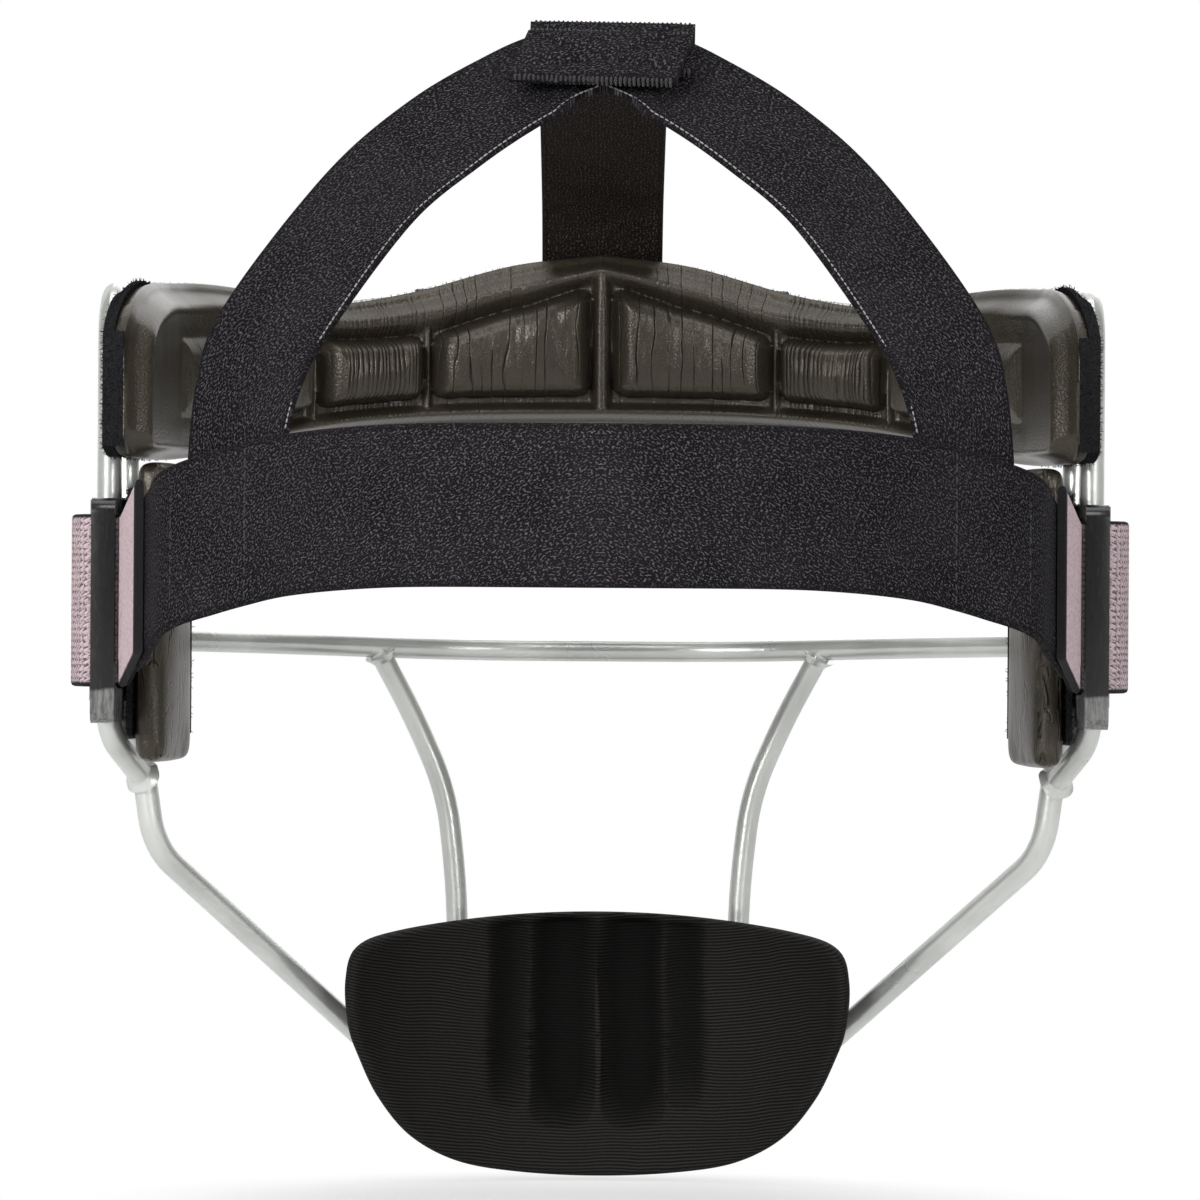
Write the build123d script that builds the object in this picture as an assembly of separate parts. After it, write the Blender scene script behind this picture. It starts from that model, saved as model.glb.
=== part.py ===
from build123d import *
import math
import os

# Softball face guard: a welded wire mask, its pads, and the harness that holds it on the head.
# Millimetres. +X is to the right as seen from behind the wearer, +Y is the way the face looks,
# +Z is up. The origin is inside the head, level with the temples, and the tables of shares below
# are multiplied by the driving sizes that come before them.

# Wire frame
frame_half_width = 97.0
frame_reach = 105.0
frame_drop = 100.0
main_wire = 4.8
thin_wire = 4.4
curl_bend = 10.0
corner_bend = 9.0
jaw_bend = 14.0

# Pads
pad_inset = 0.6
pad_seat = 0.38
backing_thickness = 1.3
roll_thickness = 8.2
block_thickness = 12.5
forehead_rise = 9.5
forehead_tail = 3.0
outline_margin = 4.5
end_round = 8.0
edge_round = 2.2
block_round = 1.6
block_gap = 2.2
notch_depth = 25.0
cheek_top = 27.2
cheek_height = 60.4
cheek_inset = 4.0
cheek_side_length = 15.0
cheek_thickness = 6.8
cheek_shoulder_lag = 14.1
cheek_nose_lead = 5.4
cheek_taper = 14.6
cheek_nose_round = 2.4
cheek_round = 2.0
cheek_cloth_margin = 6.0

# Chin cup
cup_half_width = 52.0
cup_height = 54.0
cup_rise = 35.6
cup_curve = 65.9
cup_inset = 4.25
cup_thickness = 10.0
cup_brim = 2.5
cup_bulge_share = 0.4
cup_under = 11.0
cup_round = 1.5
cup_backing_margin = 5.0
wide_channel_radius = 9.0
wide_channel_depth = 2.6
narrow_channel_radius = 3.2
narrow_channel_depth = 1.8
channel_length_share = 0.78

# Hook tape round the wires
tape_thickness = 1.2
tape_length = 13.8

# Webbing
band_width = 30.0
band_thickness = 1.8
band_inset = 2.3
band_rear = 93.0
band_bend = 25.0
strap_width = 25.0
strap_thickness = 1.6
crown_height = 101.5
loop_width = 33.5
loop_low = -17.5
tab_length = 19.0
tab_lift = 0.3

# Buckles
buckle_low = -24.5
buckle_height = 43.6
buckle_thickness = 4.6
buckle_proud = 1.4
buckle_tail = -8.0
keeper_depth = 4.0
buckle_foot = 6.6
buckle_head = 2.7
buckle_round = 3.0
front_bar = 4.0
front_bar_ahead = 7.0
clip_wall = 1.2
clip_height = 10.0
clip_inset = 4.0
clip_mouth = 3.6

# Crown patch and flap
patch_width = 34.5
patch_length = 16.0
patch_thickness = 2.0
patch_lean = 39.0
patch_round = 2.5
patch_stagger = 6.0
patch_centre_rise = 3.0

# Fits
clearance = 0.3
snap_clearance = 0.12
overrun = 5.0

# Left halves of the wires' routes, as shares of frame_half_width, frame_reach and frame_drop
crown_bar_shares = [(-1.0, 0.23, -0.27), (-1.0, 0.23, 0.595), (-0.982, 0.5, 0.61),
                    (-0.75, 0.83, 0.565), (-0.35, 1.0, 0.62)]
jaw_bar_shares = [(-0.98, 0.42, 0.37), (-0.964, 0.362, -0.15), (-0.914, 0.385, -0.5),
                  (-0.43, 0.888, -0.966), (-0.16, 1.018, -1.01)]
brow_bar_shares = [(-0.97, 0.52, 0.375), (-0.752, 0.83, 0.38), (-0.35, 0.998, 0.385)]
eye_bar_shares = [(-0.865, 0.5, -0.087), (-0.65, 0.8, -0.094), (-0.3, 0.985, -0.106)]
upright_shares = [(-0.398, 0.935, -0.24), (-0.326, 0.948, -0.4), (-0.302, 0.948, -0.6)]

# Where one wire is welded to another, as shares of the run that it meets
leg_weld_share = 0.62
riser_weld_share = 0.7
brow_weld_share = 0.93
eye_weld_share = 0.88
upright_weld_share = 0.5

# Middles of the hook tape sleeves, as shares of the wire's length
crown_tape_shares = (0.345, 0.435, 0.565, 0.655)
brow_tape_shares = (0.2, 0.4, 0.6, 0.8)
riser_tape_shares = (0.1, 0.172)
chin_tape_shares = (0.736, 0.8888)

# Plan of the pads' outer face, left half, as shares of pad_half_width and pad_reach
pad_plan_shares = [(-1.03, -0.3), (-1.0, 0.03), (-0.975, 0.24), (-0.948, 0.5),
                   (-0.733, 0.828), (-0.342, 1.0)]

# Front view of the forehead pad, left half, as shares of pad_half_width and forehead_top
pad_top_shares = [(-1.08, 0.85), (-0.9, 0.885), (-0.76, 0.875), (-0.61, 0.845), (-0.42, 0.885),
                  (-0.2, 0.965), (0.0, 1.0)]
pad_bottom_shares = [(-1.08, 0.4), (-0.92, 0.41), (-0.62, 0.475), (-0.34, 0.51), (0.0, 0.52)]
block_edge_shares = [(-1.2, -0.6), (-0.575, -0.37), (-0.35, -0.015)]

# Chin cup outline, right half, as shares of cup_half_width and of cup_height below cup_top
cup_outline_shares = [(0.0, 0.0), (0.39, -0.018), (0.78, -0.072), (0.94, -0.13), (1.0, -0.25),
                      (0.99, -0.41), (0.95, -0.53), (0.87, -0.69), (0.74, -0.84), (0.55, -0.94),
                      (0.3, -0.985), (0.0, -1.0)]
wide_channel_angles = (-7.6, 7.6)
narrow_channel_angles = (-18.4, 18.4)

# Plan of the rear band, left half, and its middle line in side view, as shares of
# band_half_width or band_rear, and band_width
band_plan_shares = [(-0.984, -0.0935), (-0.896, -0.481), (-0.568, -0.763), (-0.36, -0.9),
                    (-0.13, -0.99)]
band_side_shares = [(-1.04, 0.573), (-0.86, 0.567), (-0.7, 0.51), (-0.6, 0.43), (-0.5, 0.33),
                    (-0.3, 0.157), (-0.05, -0.03)]

# Crown strap stations, left half: the middle in shares of band_half_width, band_rear and
# crown_height, then how far the width runs sideways and down, in shares of strap_width
crown_strap_shares = [((-0.034, -0.26, 1.0), (0.2, -0.62)),
                      ((-0.1, -0.266, 0.992), (0.24, -0.62)),
                      ((-0.19, -0.285, 0.955), (0.33, -0.6)),
                      ((-0.33, -0.325, 0.872), (0.45, -0.58)),
                      ((-0.484, -0.385, 0.747), (0.52, -0.52)),
                      ((-0.662, -0.495, 0.524), (0.68, -0.4)),
                      ((-0.72, -0.555, 0.4), (0.74, -0.24)),
                      ((-0.744, -0.577, 0.26), (0.753, 0.0)),
                      ((-0.744, -0.577, 0.08), (0.753, 0.0))]

# Front strap in side view: at the crown as shares of band_rear and crown_height, and on the way
# forward as shares of frame_reach and forehead_top
strap_crown_shares = [(-0.2902, 0.9348), (-0.1829, 1.0123)]
strap_front_shares = [(0.19, 1.35), (0.57, 1.235), (0.88, 1.12)]

# How far the wrapped strap bulges outward, in shares of its radius round the front bar
loop_bulge_shares = (1.4, 2.2)

# Sizes that follow from the ones above
pad_half_width = frame_half_width - pad_inset
pad_reach = frame_reach - main_wire / 2 - snap_clearance - tape_thickness - pad_seat
forehead_top = crown_bar_shares[-1][2] * frame_drop + forehead_rise
riser_reach = jaw_bar_shares[0][1] * frame_reach
cheek_nose = riser_reach + cheek_nose_lead
cheek_shoulder = riser_reach - cheek_shoulder_lag
cheek_tail = cheek_shoulder - cheek_side_length
cheek_half_width = frame_half_width - cheek_inset
cheek_nose_half_width = cheek_half_width - cheek_taper
cup_top = frame_drop - cup_rise
cup_reach = frame_reach - cup_inset
buckle_half_width = frame_half_width + buckle_proud
band_half_width = buckle_half_width - buckle_thickness - band_inset
wrap_radius = front_bar / 2 + clearance + strap_thickness / 2


def mirrored(points):
    """A left half route followed by its mirror image, from left to right."""
    return list(points) + [(-x, *rest) for x, *rest in reversed(points)]


def scaled(shares, *sizes):
    return [tuple(share * size for share, size in zip(row, sizes)) for row in shares]


def along(start, end, share):
    """The point that lies a share of the way from start to end."""
    return tuple(a + share * (b - a) for a, b in zip(start, end))


def easy_radii(points, reach=0.45):
    """Bend radii that use the given share of the shorter run beside each corner."""
    radii = []
    for before, here, after in zip(points, points[1:], points[2:]):
        run_in, run_out = Vector(*here) - Vector(*before), Vector(*after) - Vector(*here)
        half_turn = math.radians(run_in.get_angle(run_out)) / 2
        radii.append(reach * min(run_in.length, run_out.length) / math.tan(half_turn))
    return radii


def bent_path(points, tight=None):
    """Straight runs joined by arcs; tight holds the smaller radius of a corner and its mirror."""
    radii = easy_radii(points)
    for corner, radius in (tight or {}).items():
        for place in (corner, len(points) - 1 - corner):
            radii[place - 1] = min(radius, radii[place - 1])
    return FilletPolyline(*points, radius=radii)


def left_and_right(shape):
    return {"left": shape, "right": mirror(shape, about=Plane.YZ)}


def largest(shape):
    return max(shape.solids(), key=lambda solid: solid.volume)


def rod(path, diameter):
    return sweep(Plane(origin=path @ 0, z_dir=path % 0) * Circle(diameter / 2), path=path)


def sleeve(path, diameter, middle_share):
    """A short length of tape wrapped round a wire, centred at a share of the wire's path."""
    half_share = tape_length / 2 / path.length
    route = path.wire().trim(middle_share - half_share, middle_share + half_share)
    bore = diameter + 2 * snap_clearance
    return rod(route, bore + 2 * tape_thickness) - rod(route, bore)


def strip(path, thickness, width, low):
    """Webbing of the given width standing on edge at height low, along a path in plan."""
    return Pos(0, 0, low) * extrude(trace(path, line_width=thickness), width)


def frame_points(shares):
    return scaled(shares, frame_half_width, frame_reach, frame_drop)


def frame_paths():
    """The centre lines of the wires, each starting and ending inside the wire it is welded to."""
    crown, jaw = frame_points(crown_bar_shares), frame_points(jaw_bar_shares)
    jaw = [along(crown[1], crown[2], riser_weld_share)] + jaw
    crown = [along(jaw[2], jaw[3], leg_weld_share)] + crown
    brow = [along(jaw[0], jaw[1], brow_weld_share)] + frame_points(brow_bar_shares)
    eye = [along(jaw[1], jaw[2], eye_weld_share)] + frame_points(eye_bar_shares)
    upright = [along(eye[2], eye[3], upright_weld_share)] + frame_points(upright_shares)
    upright.append(along(jaw[4], jaw[5], upright_weld_share))
    return {
        "crown_bar": bent_path(mirrored(crown), {1: curl_bend, 2: corner_bend}),
        "jaw_bar": bent_path(mirrored(jaw), {3: jaw_bend}),
        "brow_bar": bent_path(mirrored(brow)),
        "eye_bar": bent_path(mirrored(eye)),
        "upright": FilletPolyline(*upright, radius=easy_radii(upright)),
    }


def make_frame(paths):
    """Five bent wires and their mirror images, each end coped to the wire it is welded to."""
    crown, jaw = (rod(paths[name], main_wire) for name in ("crown_bar", "jaw_bar"))
    brow, eye, upright = (rod(paths[name], thin_wire) for name in ("brow_bar", "eye_bar", "upright"))
    below = Pos(0, 0, -frame_drop) * Box(4 * frame_half_width, 4 * frame_reach, 2 * frame_drop)
    jaw_coped = largest(jaw - (crown - below))
    crown_coped = largest(crown - jaw_coped)
    bars = {
        "crown_bar": crown_coped,
        "jaw_bar": jaw_coped,
        "brow_bar": largest(brow - jaw_coped - crown_coped),
        "eye_bar": largest(eye - jaw_coped),
    }
    upright = largest(upright - bars["eye_bar"] - jaw_coped)
    for side, shape in left_and_right(upright).items():
        bars["upright_" + side] = shape
    return bars


def make_hook_tapes(paths):
    """Sleeves of hook tape on the wires, which the pads' loop backings grip."""
    forehead = [sleeve(paths["crown_bar"], main_wire, share) for share in crown_tape_shares]
    forehead += [sleeve(paths["brow_bar"], thin_wire, share) for share in brow_tape_shares]
    cheek = [sleeve(paths["jaw_bar"], main_wire, share) for share in riser_tape_shares]
    cheek += [mirror(tape, about=Plane.YZ) for tape in cheek]
    chin = [sleeve(paths["upright"], thin_wire, share) for share in chin_tape_shares]
    chin += [mirror(tape, about=Plane.YZ) for tape in chin]
    return {
        "forehead_hook_tape": Compound(children=[largest(tape) for tape in forehead]),
        "cheek_hook_tape": Compound(children=[largest(tape) for tape in cheek]),
        "chin_hook_tape": Compound(children=[largest(tape) for tape in chin]),
    }


def head_plan(inset):
    """The area inside the pads' outer face, moved in by inset."""
    points = mirrored(scaled(pad_plan_shares, pad_half_width, pad_reach))
    radii = easy_radii(points[-2:] + points + points[:2])[1:-1]
    area = make_face(FilletPolyline(*points, radius=radii, close=True))
    return offset(area, -inset) if inset else area


def pad_band(outer_inset, inner_inset):
    """An upright wall between two insets of the pads' plan, from the ends of the pad forward."""
    wall = head_plan(outer_inset) - head_plan(inner_inset)
    front = Pos(0, forehead_tail + pad_reach) * Rectangle(4 * pad_half_width, 2 * pad_reach)
    return extrude(wall & front, 2 * forehead_top)


def pad_outline(margin_top, margin_bottom):
    """Front view of the forehead pad, with its top and bottom edges moved in by two margins."""
    top = scaled(pad_top_shares, pad_half_width, forehead_top)
    top = [(x, z - margin_top) for x, z in top]
    bottom = scaled(pad_bottom_shares, pad_half_width, forehead_top)
    bottom = [(x, z + margin_bottom) for x, z in bottom]
    top = top + [(-x, z) for x, z in reversed(top[:-1])]
    bottom = bottom + [(-x, z) for x, z in reversed(bottom[:-1])]
    edges = Curve() + Spline(*top) + Spline(*bottom)
    edges += Line(top[0], bottom[0]) + Line(top[-1], bottom[-1])
    return Plane.XZ * make_face(edges)


def seen_from_behind(sketch):
    """A front view sketch run through the mask from back to front."""
    return Pos(0, 2 * pad_reach, 0) * extrude(sketch, 4 * pad_reach)


def make_forehead_pad():
    """Moulded pad: a padded wall with six raised blocks on the side of the head."""
    wall = largest(pad_band(backing_thickness, roll_thickness) & seen_from_behind(pad_outline(0, 0)))
    tail_edges = wall.edges().filter_by_position(Axis.Y, 0, 2 * forehead_tail)
    wall = largest(fillet(tail_edges.sort_by(SortBy.LENGTH)[:4], end_round))
    wall = largest(fillet(wall.edges(), edge_round))
    blocks = pad_band(roll_thickness - block_round, block_thickness)
    blocks &= seen_from_behind(pad_outline(outline_margin + block_gap, outline_margin))
    edges = [tuple(share * pad_half_width for share in pair) for pair in block_edge_shares]
    edges += [(-right, -left) for left, right in edges]
    pad = wall
    for left, right in edges:
        middle = Pos((left + right) / 2, 0, forehead_top / 2)
        block = largest(blocks & (middle * Box(right - left, 4 * pad_reach, 2 * forehead_top)))
        pad += largest(fillet(block.edges(), block_round))
    return pad


def make_forehead_backing():
    """Loop cloth on the outer face, notched where the front strap passes behind it."""
    cloth = pad_band(0, backing_thickness - snap_clearance / 2)
    cloth &= seen_from_behind(pad_outline(clearance, clearance))
    notch = Pos(0, pad_reach, forehead_top) * Box(strap_width + overrun, strap_width, 2 * notch_depth)
    return largest(cloth - notch)


def shifted(points, distance):
    """A plan route moved to its left by distance, with mitred corners."""
    normals = []
    for (x0, y0), (x1, y1) in zip(points, points[1:]):
        normals.append(Vector(y0 - y1, x1 - x0).normalized())
    moved = []
    for place, (x, y) in enumerate(points):
        first, second = normals[max(place - 1, 0)], normals[min(place, len(normals) - 1)]
        reach = distance / (1 + first.dot(second))
        moved.append((x + (first.X + second.X) * reach, y + (first.Y + second.Y) * reach))
    return moved


def make_cheek_pad():
    """Left cheek pad, a wedge: its thick end hides the wires and its nose lies inside the eye bar."""
    tail_x = -cheek_half_width + backing_thickness
    outer = [(tail_x, cheek_tail), (tail_x, cheek_shoulder), (-cheek_nose_half_width, cheek_nose)]
    face = make_face(Polyline(*outer, (tail_x + cheek_thickness, cheek_tail), close=True))
    pad = Pos(0, 0, cheek_top - cheek_height) * extrude(face, cheek_height)
    nose = pad.edges().filter_by(Axis.Z).sort_by(Axis.Y)[-1]
    pad = fillet(nose, cheek_nose_round)
    pad = fillet(pad.edges(), cheek_round)
    route = shifted(outer, backing_thickness / 2)
    tail, shoulder, tip = route
    end_share = cheek_round / cheek_side_length
    route = [along(tail, shoulder, end_share), shoulder, along(shoulder, tip, 1 - end_share)]
    path = FilletPolyline(*route, radius=2 * backing_thickness)
    backing = strip(path, backing_thickness - snap_clearance, cheek_height - 2 * cheek_cloth_margin,
                    cheek_top - cheek_height + cheek_cloth_margin)
    return pad, backing


def make_cheek_pads():
    parts = {}
    pad, backing = make_cheek_pad()
    for side, shape in left_and_right(pad).items():
        parts["cheek_pad_" + side] = shape
    for side, shape in left_and_right(backing).items():
        parts["cheek_pad_backing_" + side] = shape
    return parts


def cup_shell(outer_radius, thickness):
    """A barrel shaped shell about the chin, curling in under it at the foot."""
    outer = [(outer_radius - cup_brim, -cup_top + cup_brim),
             (outer_radius, -cup_top - cup_height * cup_bulge_share),
             (outer_radius - cup_under, -cup_top - cup_height - cup_brim)]
    inner = [(reach - thickness, height) for reach, height in outer]
    profile = Curve() + ThreePointArc(*outer) + ThreePointArc(*inner)
    profile += Line(outer[0], inner[0]) + Line(outer[-1], inner[-1])
    axis_place = Pos(0, cup_reach - cup_curve, 0)
    return axis_place * revolve(Plane.XZ * make_face(profile), Axis.Z), inner


def cup_prism(margin):
    """The cup's outline in front view, drawn in by a margin, run forward from mid head."""
    half_width, height = cup_half_width - margin, cup_height - 2 * margin
    points = [(x * half_width, z * height - cup_top - margin) for x, z in cup_outline_shares]
    loop = points + [(-x, z) for x, z in reversed(points[1:-1])]
    start = Pos(0, cup_reach - cup_curve, 0)
    return start * extrude(Plane.XZ * make_face(Spline(*loop, periodic=True)), -2 * cup_curve)


def cup_channel(inner, angle, radius, depth):
    """A round ended channel down the inside of the cup from its top edge."""
    route = ThreePointArc(*[(reach - radius + depth, 0, height) for reach, height in inner])
    route = route.trim(0, channel_length_share)
    channel = rod(route, 2 * radius) + Pos(route @ 1) * Sphere(radius)
    return Pos(0, cup_reach - cup_curve, 0) * Rot(0, 0, 90 + angle) * channel


def make_chin_cup():
    """Padded cup with sewn channels inside, and the loop cloth on its outer face."""
    shell, inner = cup_shell(cup_curve, cup_thickness)
    cup = largest(shell & cup_prism(0))
    cup = largest(fillet(cup.edges(), cup_round))
    for angle in wide_channel_angles:
        cup -= cup_channel(inner, angle, wide_channel_radius, wide_channel_depth)
    for angle in narrow_channel_angles:
        cup -= cup_channel(inner, angle, narrow_channel_radius, narrow_channel_depth)
    outer = cup_curve + backing_thickness
    cloth, _ = cup_shell(outer, backing_thickness - snap_clearance)
    return {"chin_cup": largest(cup), "chin_cup_backing": largest(cloth & cup_prism(cup_backing_margin))}


def make_buckle():
    """Left buckle: a keeper bar, a round bar that the strap wraps, and two snap clips on the leg."""
    leg_x, leg_y = -frame_half_width, crown_bar_shares[0][1] * frame_reach
    depth = leg_y - buckle_tail
    bar_x = -buckle_half_width + buckle_thickness / 2
    middle_z = buckle_low + buckle_height / 2
    plate = Pos(bar_x, buckle_tail + depth / 2, middle_z) * Box(buckle_thickness, depth, buckle_height)
    rear = plate.edges().filter_by(Axis.X).sort_by(Axis.Y)[:2]
    plate = fillet(rear, buckle_round)
    window_height = buckle_height - buckle_foot - buckle_head
    window_z = buckle_low + buckle_foot + window_height / 2
    window = Pos(bar_x, buckle_tail + keeper_depth + depth / 2, window_z)
    plate -= window * Box(buckle_thickness + overrun, depth, window_height)
    bore = main_wire + 2 * snap_clearance
    clip = Cylinder(bore / 2 + clip_wall, clip_height)
    top = buckle_low + buckle_height - clip_height / 2
    for height in (buckle_low + clip_inset + clip_height / 2, top):
        plate += Pos(leg_x, leg_y, height) * clip
    bar = Cylinder(front_bar / 2, buckle_height - buckle_round)
    plate += Pos(bar_x, front_bar_ahead, middle_z) * bar
    plate -= Pos(leg_x, leg_y, 0) * Cylinder(bore / 2, 2 * buckle_height)
    mouth = Box(clip_mouth, bore + 2 * clip_wall, 2 * buckle_height)
    return largest(plate - Pos(leg_x, leg_y + bore / 2 + clip_wall, 0) * mouth)


def make_strap_loop():
    """Left strap end: in past the keeper bar, round the front bar and back out under the keeper."""
    bar_x = -buckle_half_width + buckle_thickness / 2
    bulge, swell = (bar_x - share * wrap_radius for share in loop_bulge_shares)
    keeper_in = -buckle_half_width + buckle_thickness
    back_x = keeper_in + clearance + strap_thickness / 2 + snap_clearance
    front_x = back_x + strap_thickness + clearance
    start_y = buckle_tail - clearance
    turn_y = front_bar_ahead + wrap_radius * 2
    points = [(front_x, start_y), (front_x, front_bar_ahead), (bar_x + wrap_radius, turn_y + clearance),
              (bulge, turn_y), (swell, front_bar_ahead - clearance),
              (bar_x - wrap_radius, buckle_tail + keeper_depth + strap_thickness),
              (back_x, buckle_tail + keeper_depth * 2), (back_x, start_y)]
    path = FilletPolyline(*points, radius=easy_radii(points))
    return strip(path, strap_thickness, loop_width, loop_low)


def make_strap_tab():
    """Left free end: it lies on the outside of the band behind the buckle."""
    band_start, band_bend = scaled(band_plan_shares[:2], band_half_width, band_rear)
    run = Vector(*band_bend) - Vector(*band_start)
    out = Vector(run.Y, -run.X).normalized() * (band_thickness / 2 + tab_lift + strap_thickness / 2)
    if out.X > 0:
        out = out * -1
    start = Vector(*band_start) + out
    path = Line(start, start + run.normalized() * tab_length)
    return strip(path, strap_thickness, loop_width, loop_low)


def make_rear_band():
    """Elastic band round the back of the head, lower at the buckles than behind."""
    points = mirrored(scaled(band_plan_shares, band_half_width, band_rear))
    path = bent_path(points, {1: band_bend})
    wall = strip(path, band_thickness, 4 * band_width, -2 * band_width)
    middle = scaled(band_side_shares, band_rear, band_width)
    top = [(y, z + band_width / 2) for y, z in middle]
    bottom = [(y, z - band_width / 2) for y, z in middle]
    edges = Curve() + Spline(*top) + Spline(*bottom)
    edges += Line(top[0], bottom[0]) + Line(top[-1], bottom[-1])
    side = extrude(Plane.YZ * make_face(edges), 2 * band_half_width, both=True)
    return largest(wall & side)


def make_crown_strap():
    """Left crown strap: a ribbon lofted through cross sections from the crown to the band."""
    centres, widths = [], []
    for (x, y, z), (aside, down) in crown_strap_shares:
        centres.append(Vector(x * band_half_width, y * band_rear, z * crown_height))
        back = math.sqrt(1 - aside ** 2 - down ** 2)
        widths.append(Vector(aside, -back, down))
    sections = []
    for place, (centre, width) in enumerate(zip(centres, widths)):
        run = centres[min(place + 1, len(centres) - 1)] - centres[max(place - 1, 0)]
        plane = Plane(origin=centre, x_dir=width, z_dir=run.cross(width).cross(width) * -1)
        sections.append(plane * Rectangle(strap_width, strap_thickness))
    return loft(sections)


def make_front_strap():
    """Strap from the crown to the forehead, turned round the crown bar at its end."""
    bar_y = crown_bar_shares[-1][1] * frame_reach
    bar_z = crown_bar_shares[-1][2] * frame_drop
    reach = main_wire / 2 + clearance + strap_thickness / 2
    inside = reach + clearance
    points = scaled(strap_crown_shares, band_rear, crown_height)
    points += scaled(strap_front_shares, frame_reach, forehead_top)
    points += [(bar_y + reach, bar_z + reach + clearance), (bar_y + reach, bar_z - reach),
               (bar_y - inside, bar_z - reach), (bar_y - inside, bar_z + reach)]
    radii = easy_radii(points)
    path = FilletPolyline(*points, radius=radii)
    return extrude(Plane.YZ * trace(path, line_width=strap_thickness), strap_width / 2, both=True)


def crown_plane(lift, slide):
    """The sloping plane of the crown, raised by lift along its normal and moved up its slope."""
    _, back_share, up_share = crown_strap_shares[0][0]
    place = Pos(0, back_share * band_rear, up_share * crown_height) * Rot(patch_lean, 0, 0)
    return place * Pos(0, slide, lift)


def make_crown_patch():
    """Sewn patch over the straps' meeting point, and the loose flap fastened on top of it."""
    plate = Box(patch_width, patch_length, patch_thickness)
    plate = fillet(plate.edges().filter_by(Axis.Z), patch_round)
    lift = strap_thickness / 2 + 2 * clearance + patch_thickness / 2
    flap_lift = lift + patch_thickness + clearance
    return {
        "crown_patch": crown_plane(lift, patch_centre_rise) * plate,
        "crown_flap": crown_plane(flap_lift, patch_centre_rise - patch_stagger) * plate,
    }


parts = {}
paths = frame_paths()
parts.update(make_frame(paths))
parts.update(make_hook_tapes(paths))
parts["forehead_pad"] = make_forehead_pad()
parts["forehead_pad_backing"] = make_forehead_backing()
parts.update(make_cheek_pads())
parts.update(make_chin_cup())
paired = {
    "buckle": make_buckle(),
    "strap_loop": make_strap_loop(),
    "strap_tab": make_strap_tab(),
    "crown_strap": make_crown_strap(),
}
for piece, shape in paired.items():
    for side, half in left_and_right(shape).items():
        parts[piece + "_" + side] = half
parts["rear_band"] = make_rear_band()
parts["front_strap"] = make_front_strap()
parts.update(make_crown_patch())

os.makedirs("parts", exist_ok=True)
for name, shape in parts.items():
    export_step(shape, f"parts/{name}.step")
print(len(parts), "nodes")
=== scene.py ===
"""Dresses the softball face guard: painted wires, moulded pads, webbing, buckles and a plain studio."""

import math

import bmesh
import bpy
import numpy as np
from mathutils import Matrix, Vector, noise


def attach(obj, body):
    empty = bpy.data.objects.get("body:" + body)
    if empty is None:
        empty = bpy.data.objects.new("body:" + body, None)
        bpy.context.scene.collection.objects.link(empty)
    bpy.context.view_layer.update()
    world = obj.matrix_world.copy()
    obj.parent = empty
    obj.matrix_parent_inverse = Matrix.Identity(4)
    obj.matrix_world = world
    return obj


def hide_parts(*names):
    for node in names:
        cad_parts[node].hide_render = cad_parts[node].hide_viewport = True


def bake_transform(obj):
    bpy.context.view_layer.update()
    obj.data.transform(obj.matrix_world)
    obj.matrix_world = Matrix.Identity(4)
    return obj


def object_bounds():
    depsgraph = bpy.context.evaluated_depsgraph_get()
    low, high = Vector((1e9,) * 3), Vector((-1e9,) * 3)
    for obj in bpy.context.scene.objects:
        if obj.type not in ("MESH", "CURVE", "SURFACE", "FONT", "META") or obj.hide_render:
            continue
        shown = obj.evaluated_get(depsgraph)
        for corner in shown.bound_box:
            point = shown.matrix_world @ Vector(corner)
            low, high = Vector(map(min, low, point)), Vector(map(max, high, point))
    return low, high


bl_info = {
    "name": "Softball face guard",
    "version": (1, 0, 0),
    "blender": (4, 5, 0),
    "location": "3D View > Sidebar > Face guard",
    "description": "Dresses the wires, pads and harness of a softball face guard",
    "category": "Object",
}

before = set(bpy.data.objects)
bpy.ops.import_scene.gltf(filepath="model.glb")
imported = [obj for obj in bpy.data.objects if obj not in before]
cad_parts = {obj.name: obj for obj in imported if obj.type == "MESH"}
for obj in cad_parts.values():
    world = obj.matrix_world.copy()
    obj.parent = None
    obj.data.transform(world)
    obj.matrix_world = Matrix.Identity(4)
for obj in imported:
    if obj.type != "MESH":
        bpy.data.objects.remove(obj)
frame_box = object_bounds()

# Every table and size below is in millimetres; meshes are written in metres.
MM = 0.001
SIDES = {"left": -1, "right": 1}

# Wires: the runs that end in a weld, each as the weld's place and the next corner of its run, in
# shares of the sizes, and the radius of the wire
WIRE_SIZE = (97.0, 105.0, 100.0)
WELDS = [
    ((-0.933, 0.3763, -0.367), (-1.0, 0.23, -0.27), 2.4),
    ((-0.9874, 0.419, 0.6055), (-0.98, 0.42, 0.37), 2.4),
    ((-0.9805, 0.42, 0.3865), (-0.97, 0.52, 0.375), 2.2),
    ((-0.9659, 0.369, -0.0876), (-0.865, 0.5, -0.087), 2.2),
    ((-0.475, 0.8925, -0.1), (-0.398, 0.935, -0.24), 2.2),
    ((-0.295, 0.953, -0.988), (-0.302, 0.948, -0.6), 2.2),
]

# Plan of the pads' outer face and front view of the forehead pad, as shares of its sizes
PAD_SIZE = (96.4, 100.9, 71.5)
PAD_PLAN = [(-1.03, -0.3), (-1.0, 0.03), (-0.975, 0.24), (-0.948, 0.5), (-0.733, 0.828), (-0.342, 1.0)]
PAD_TOP = [(-1.08, 0.85), (-0.9, 0.885), (-0.76, 0.875), (-0.61, 0.845), (-0.42, 0.885), (-0.2, 0.965),
           (0.0, 1.0)]
PAD_BOTTOM = [(-1.08, 0.38), (-0.92, 0.388), (-0.62, 0.468), (-0.34, 0.502), (0.0, 0.511)]

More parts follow.
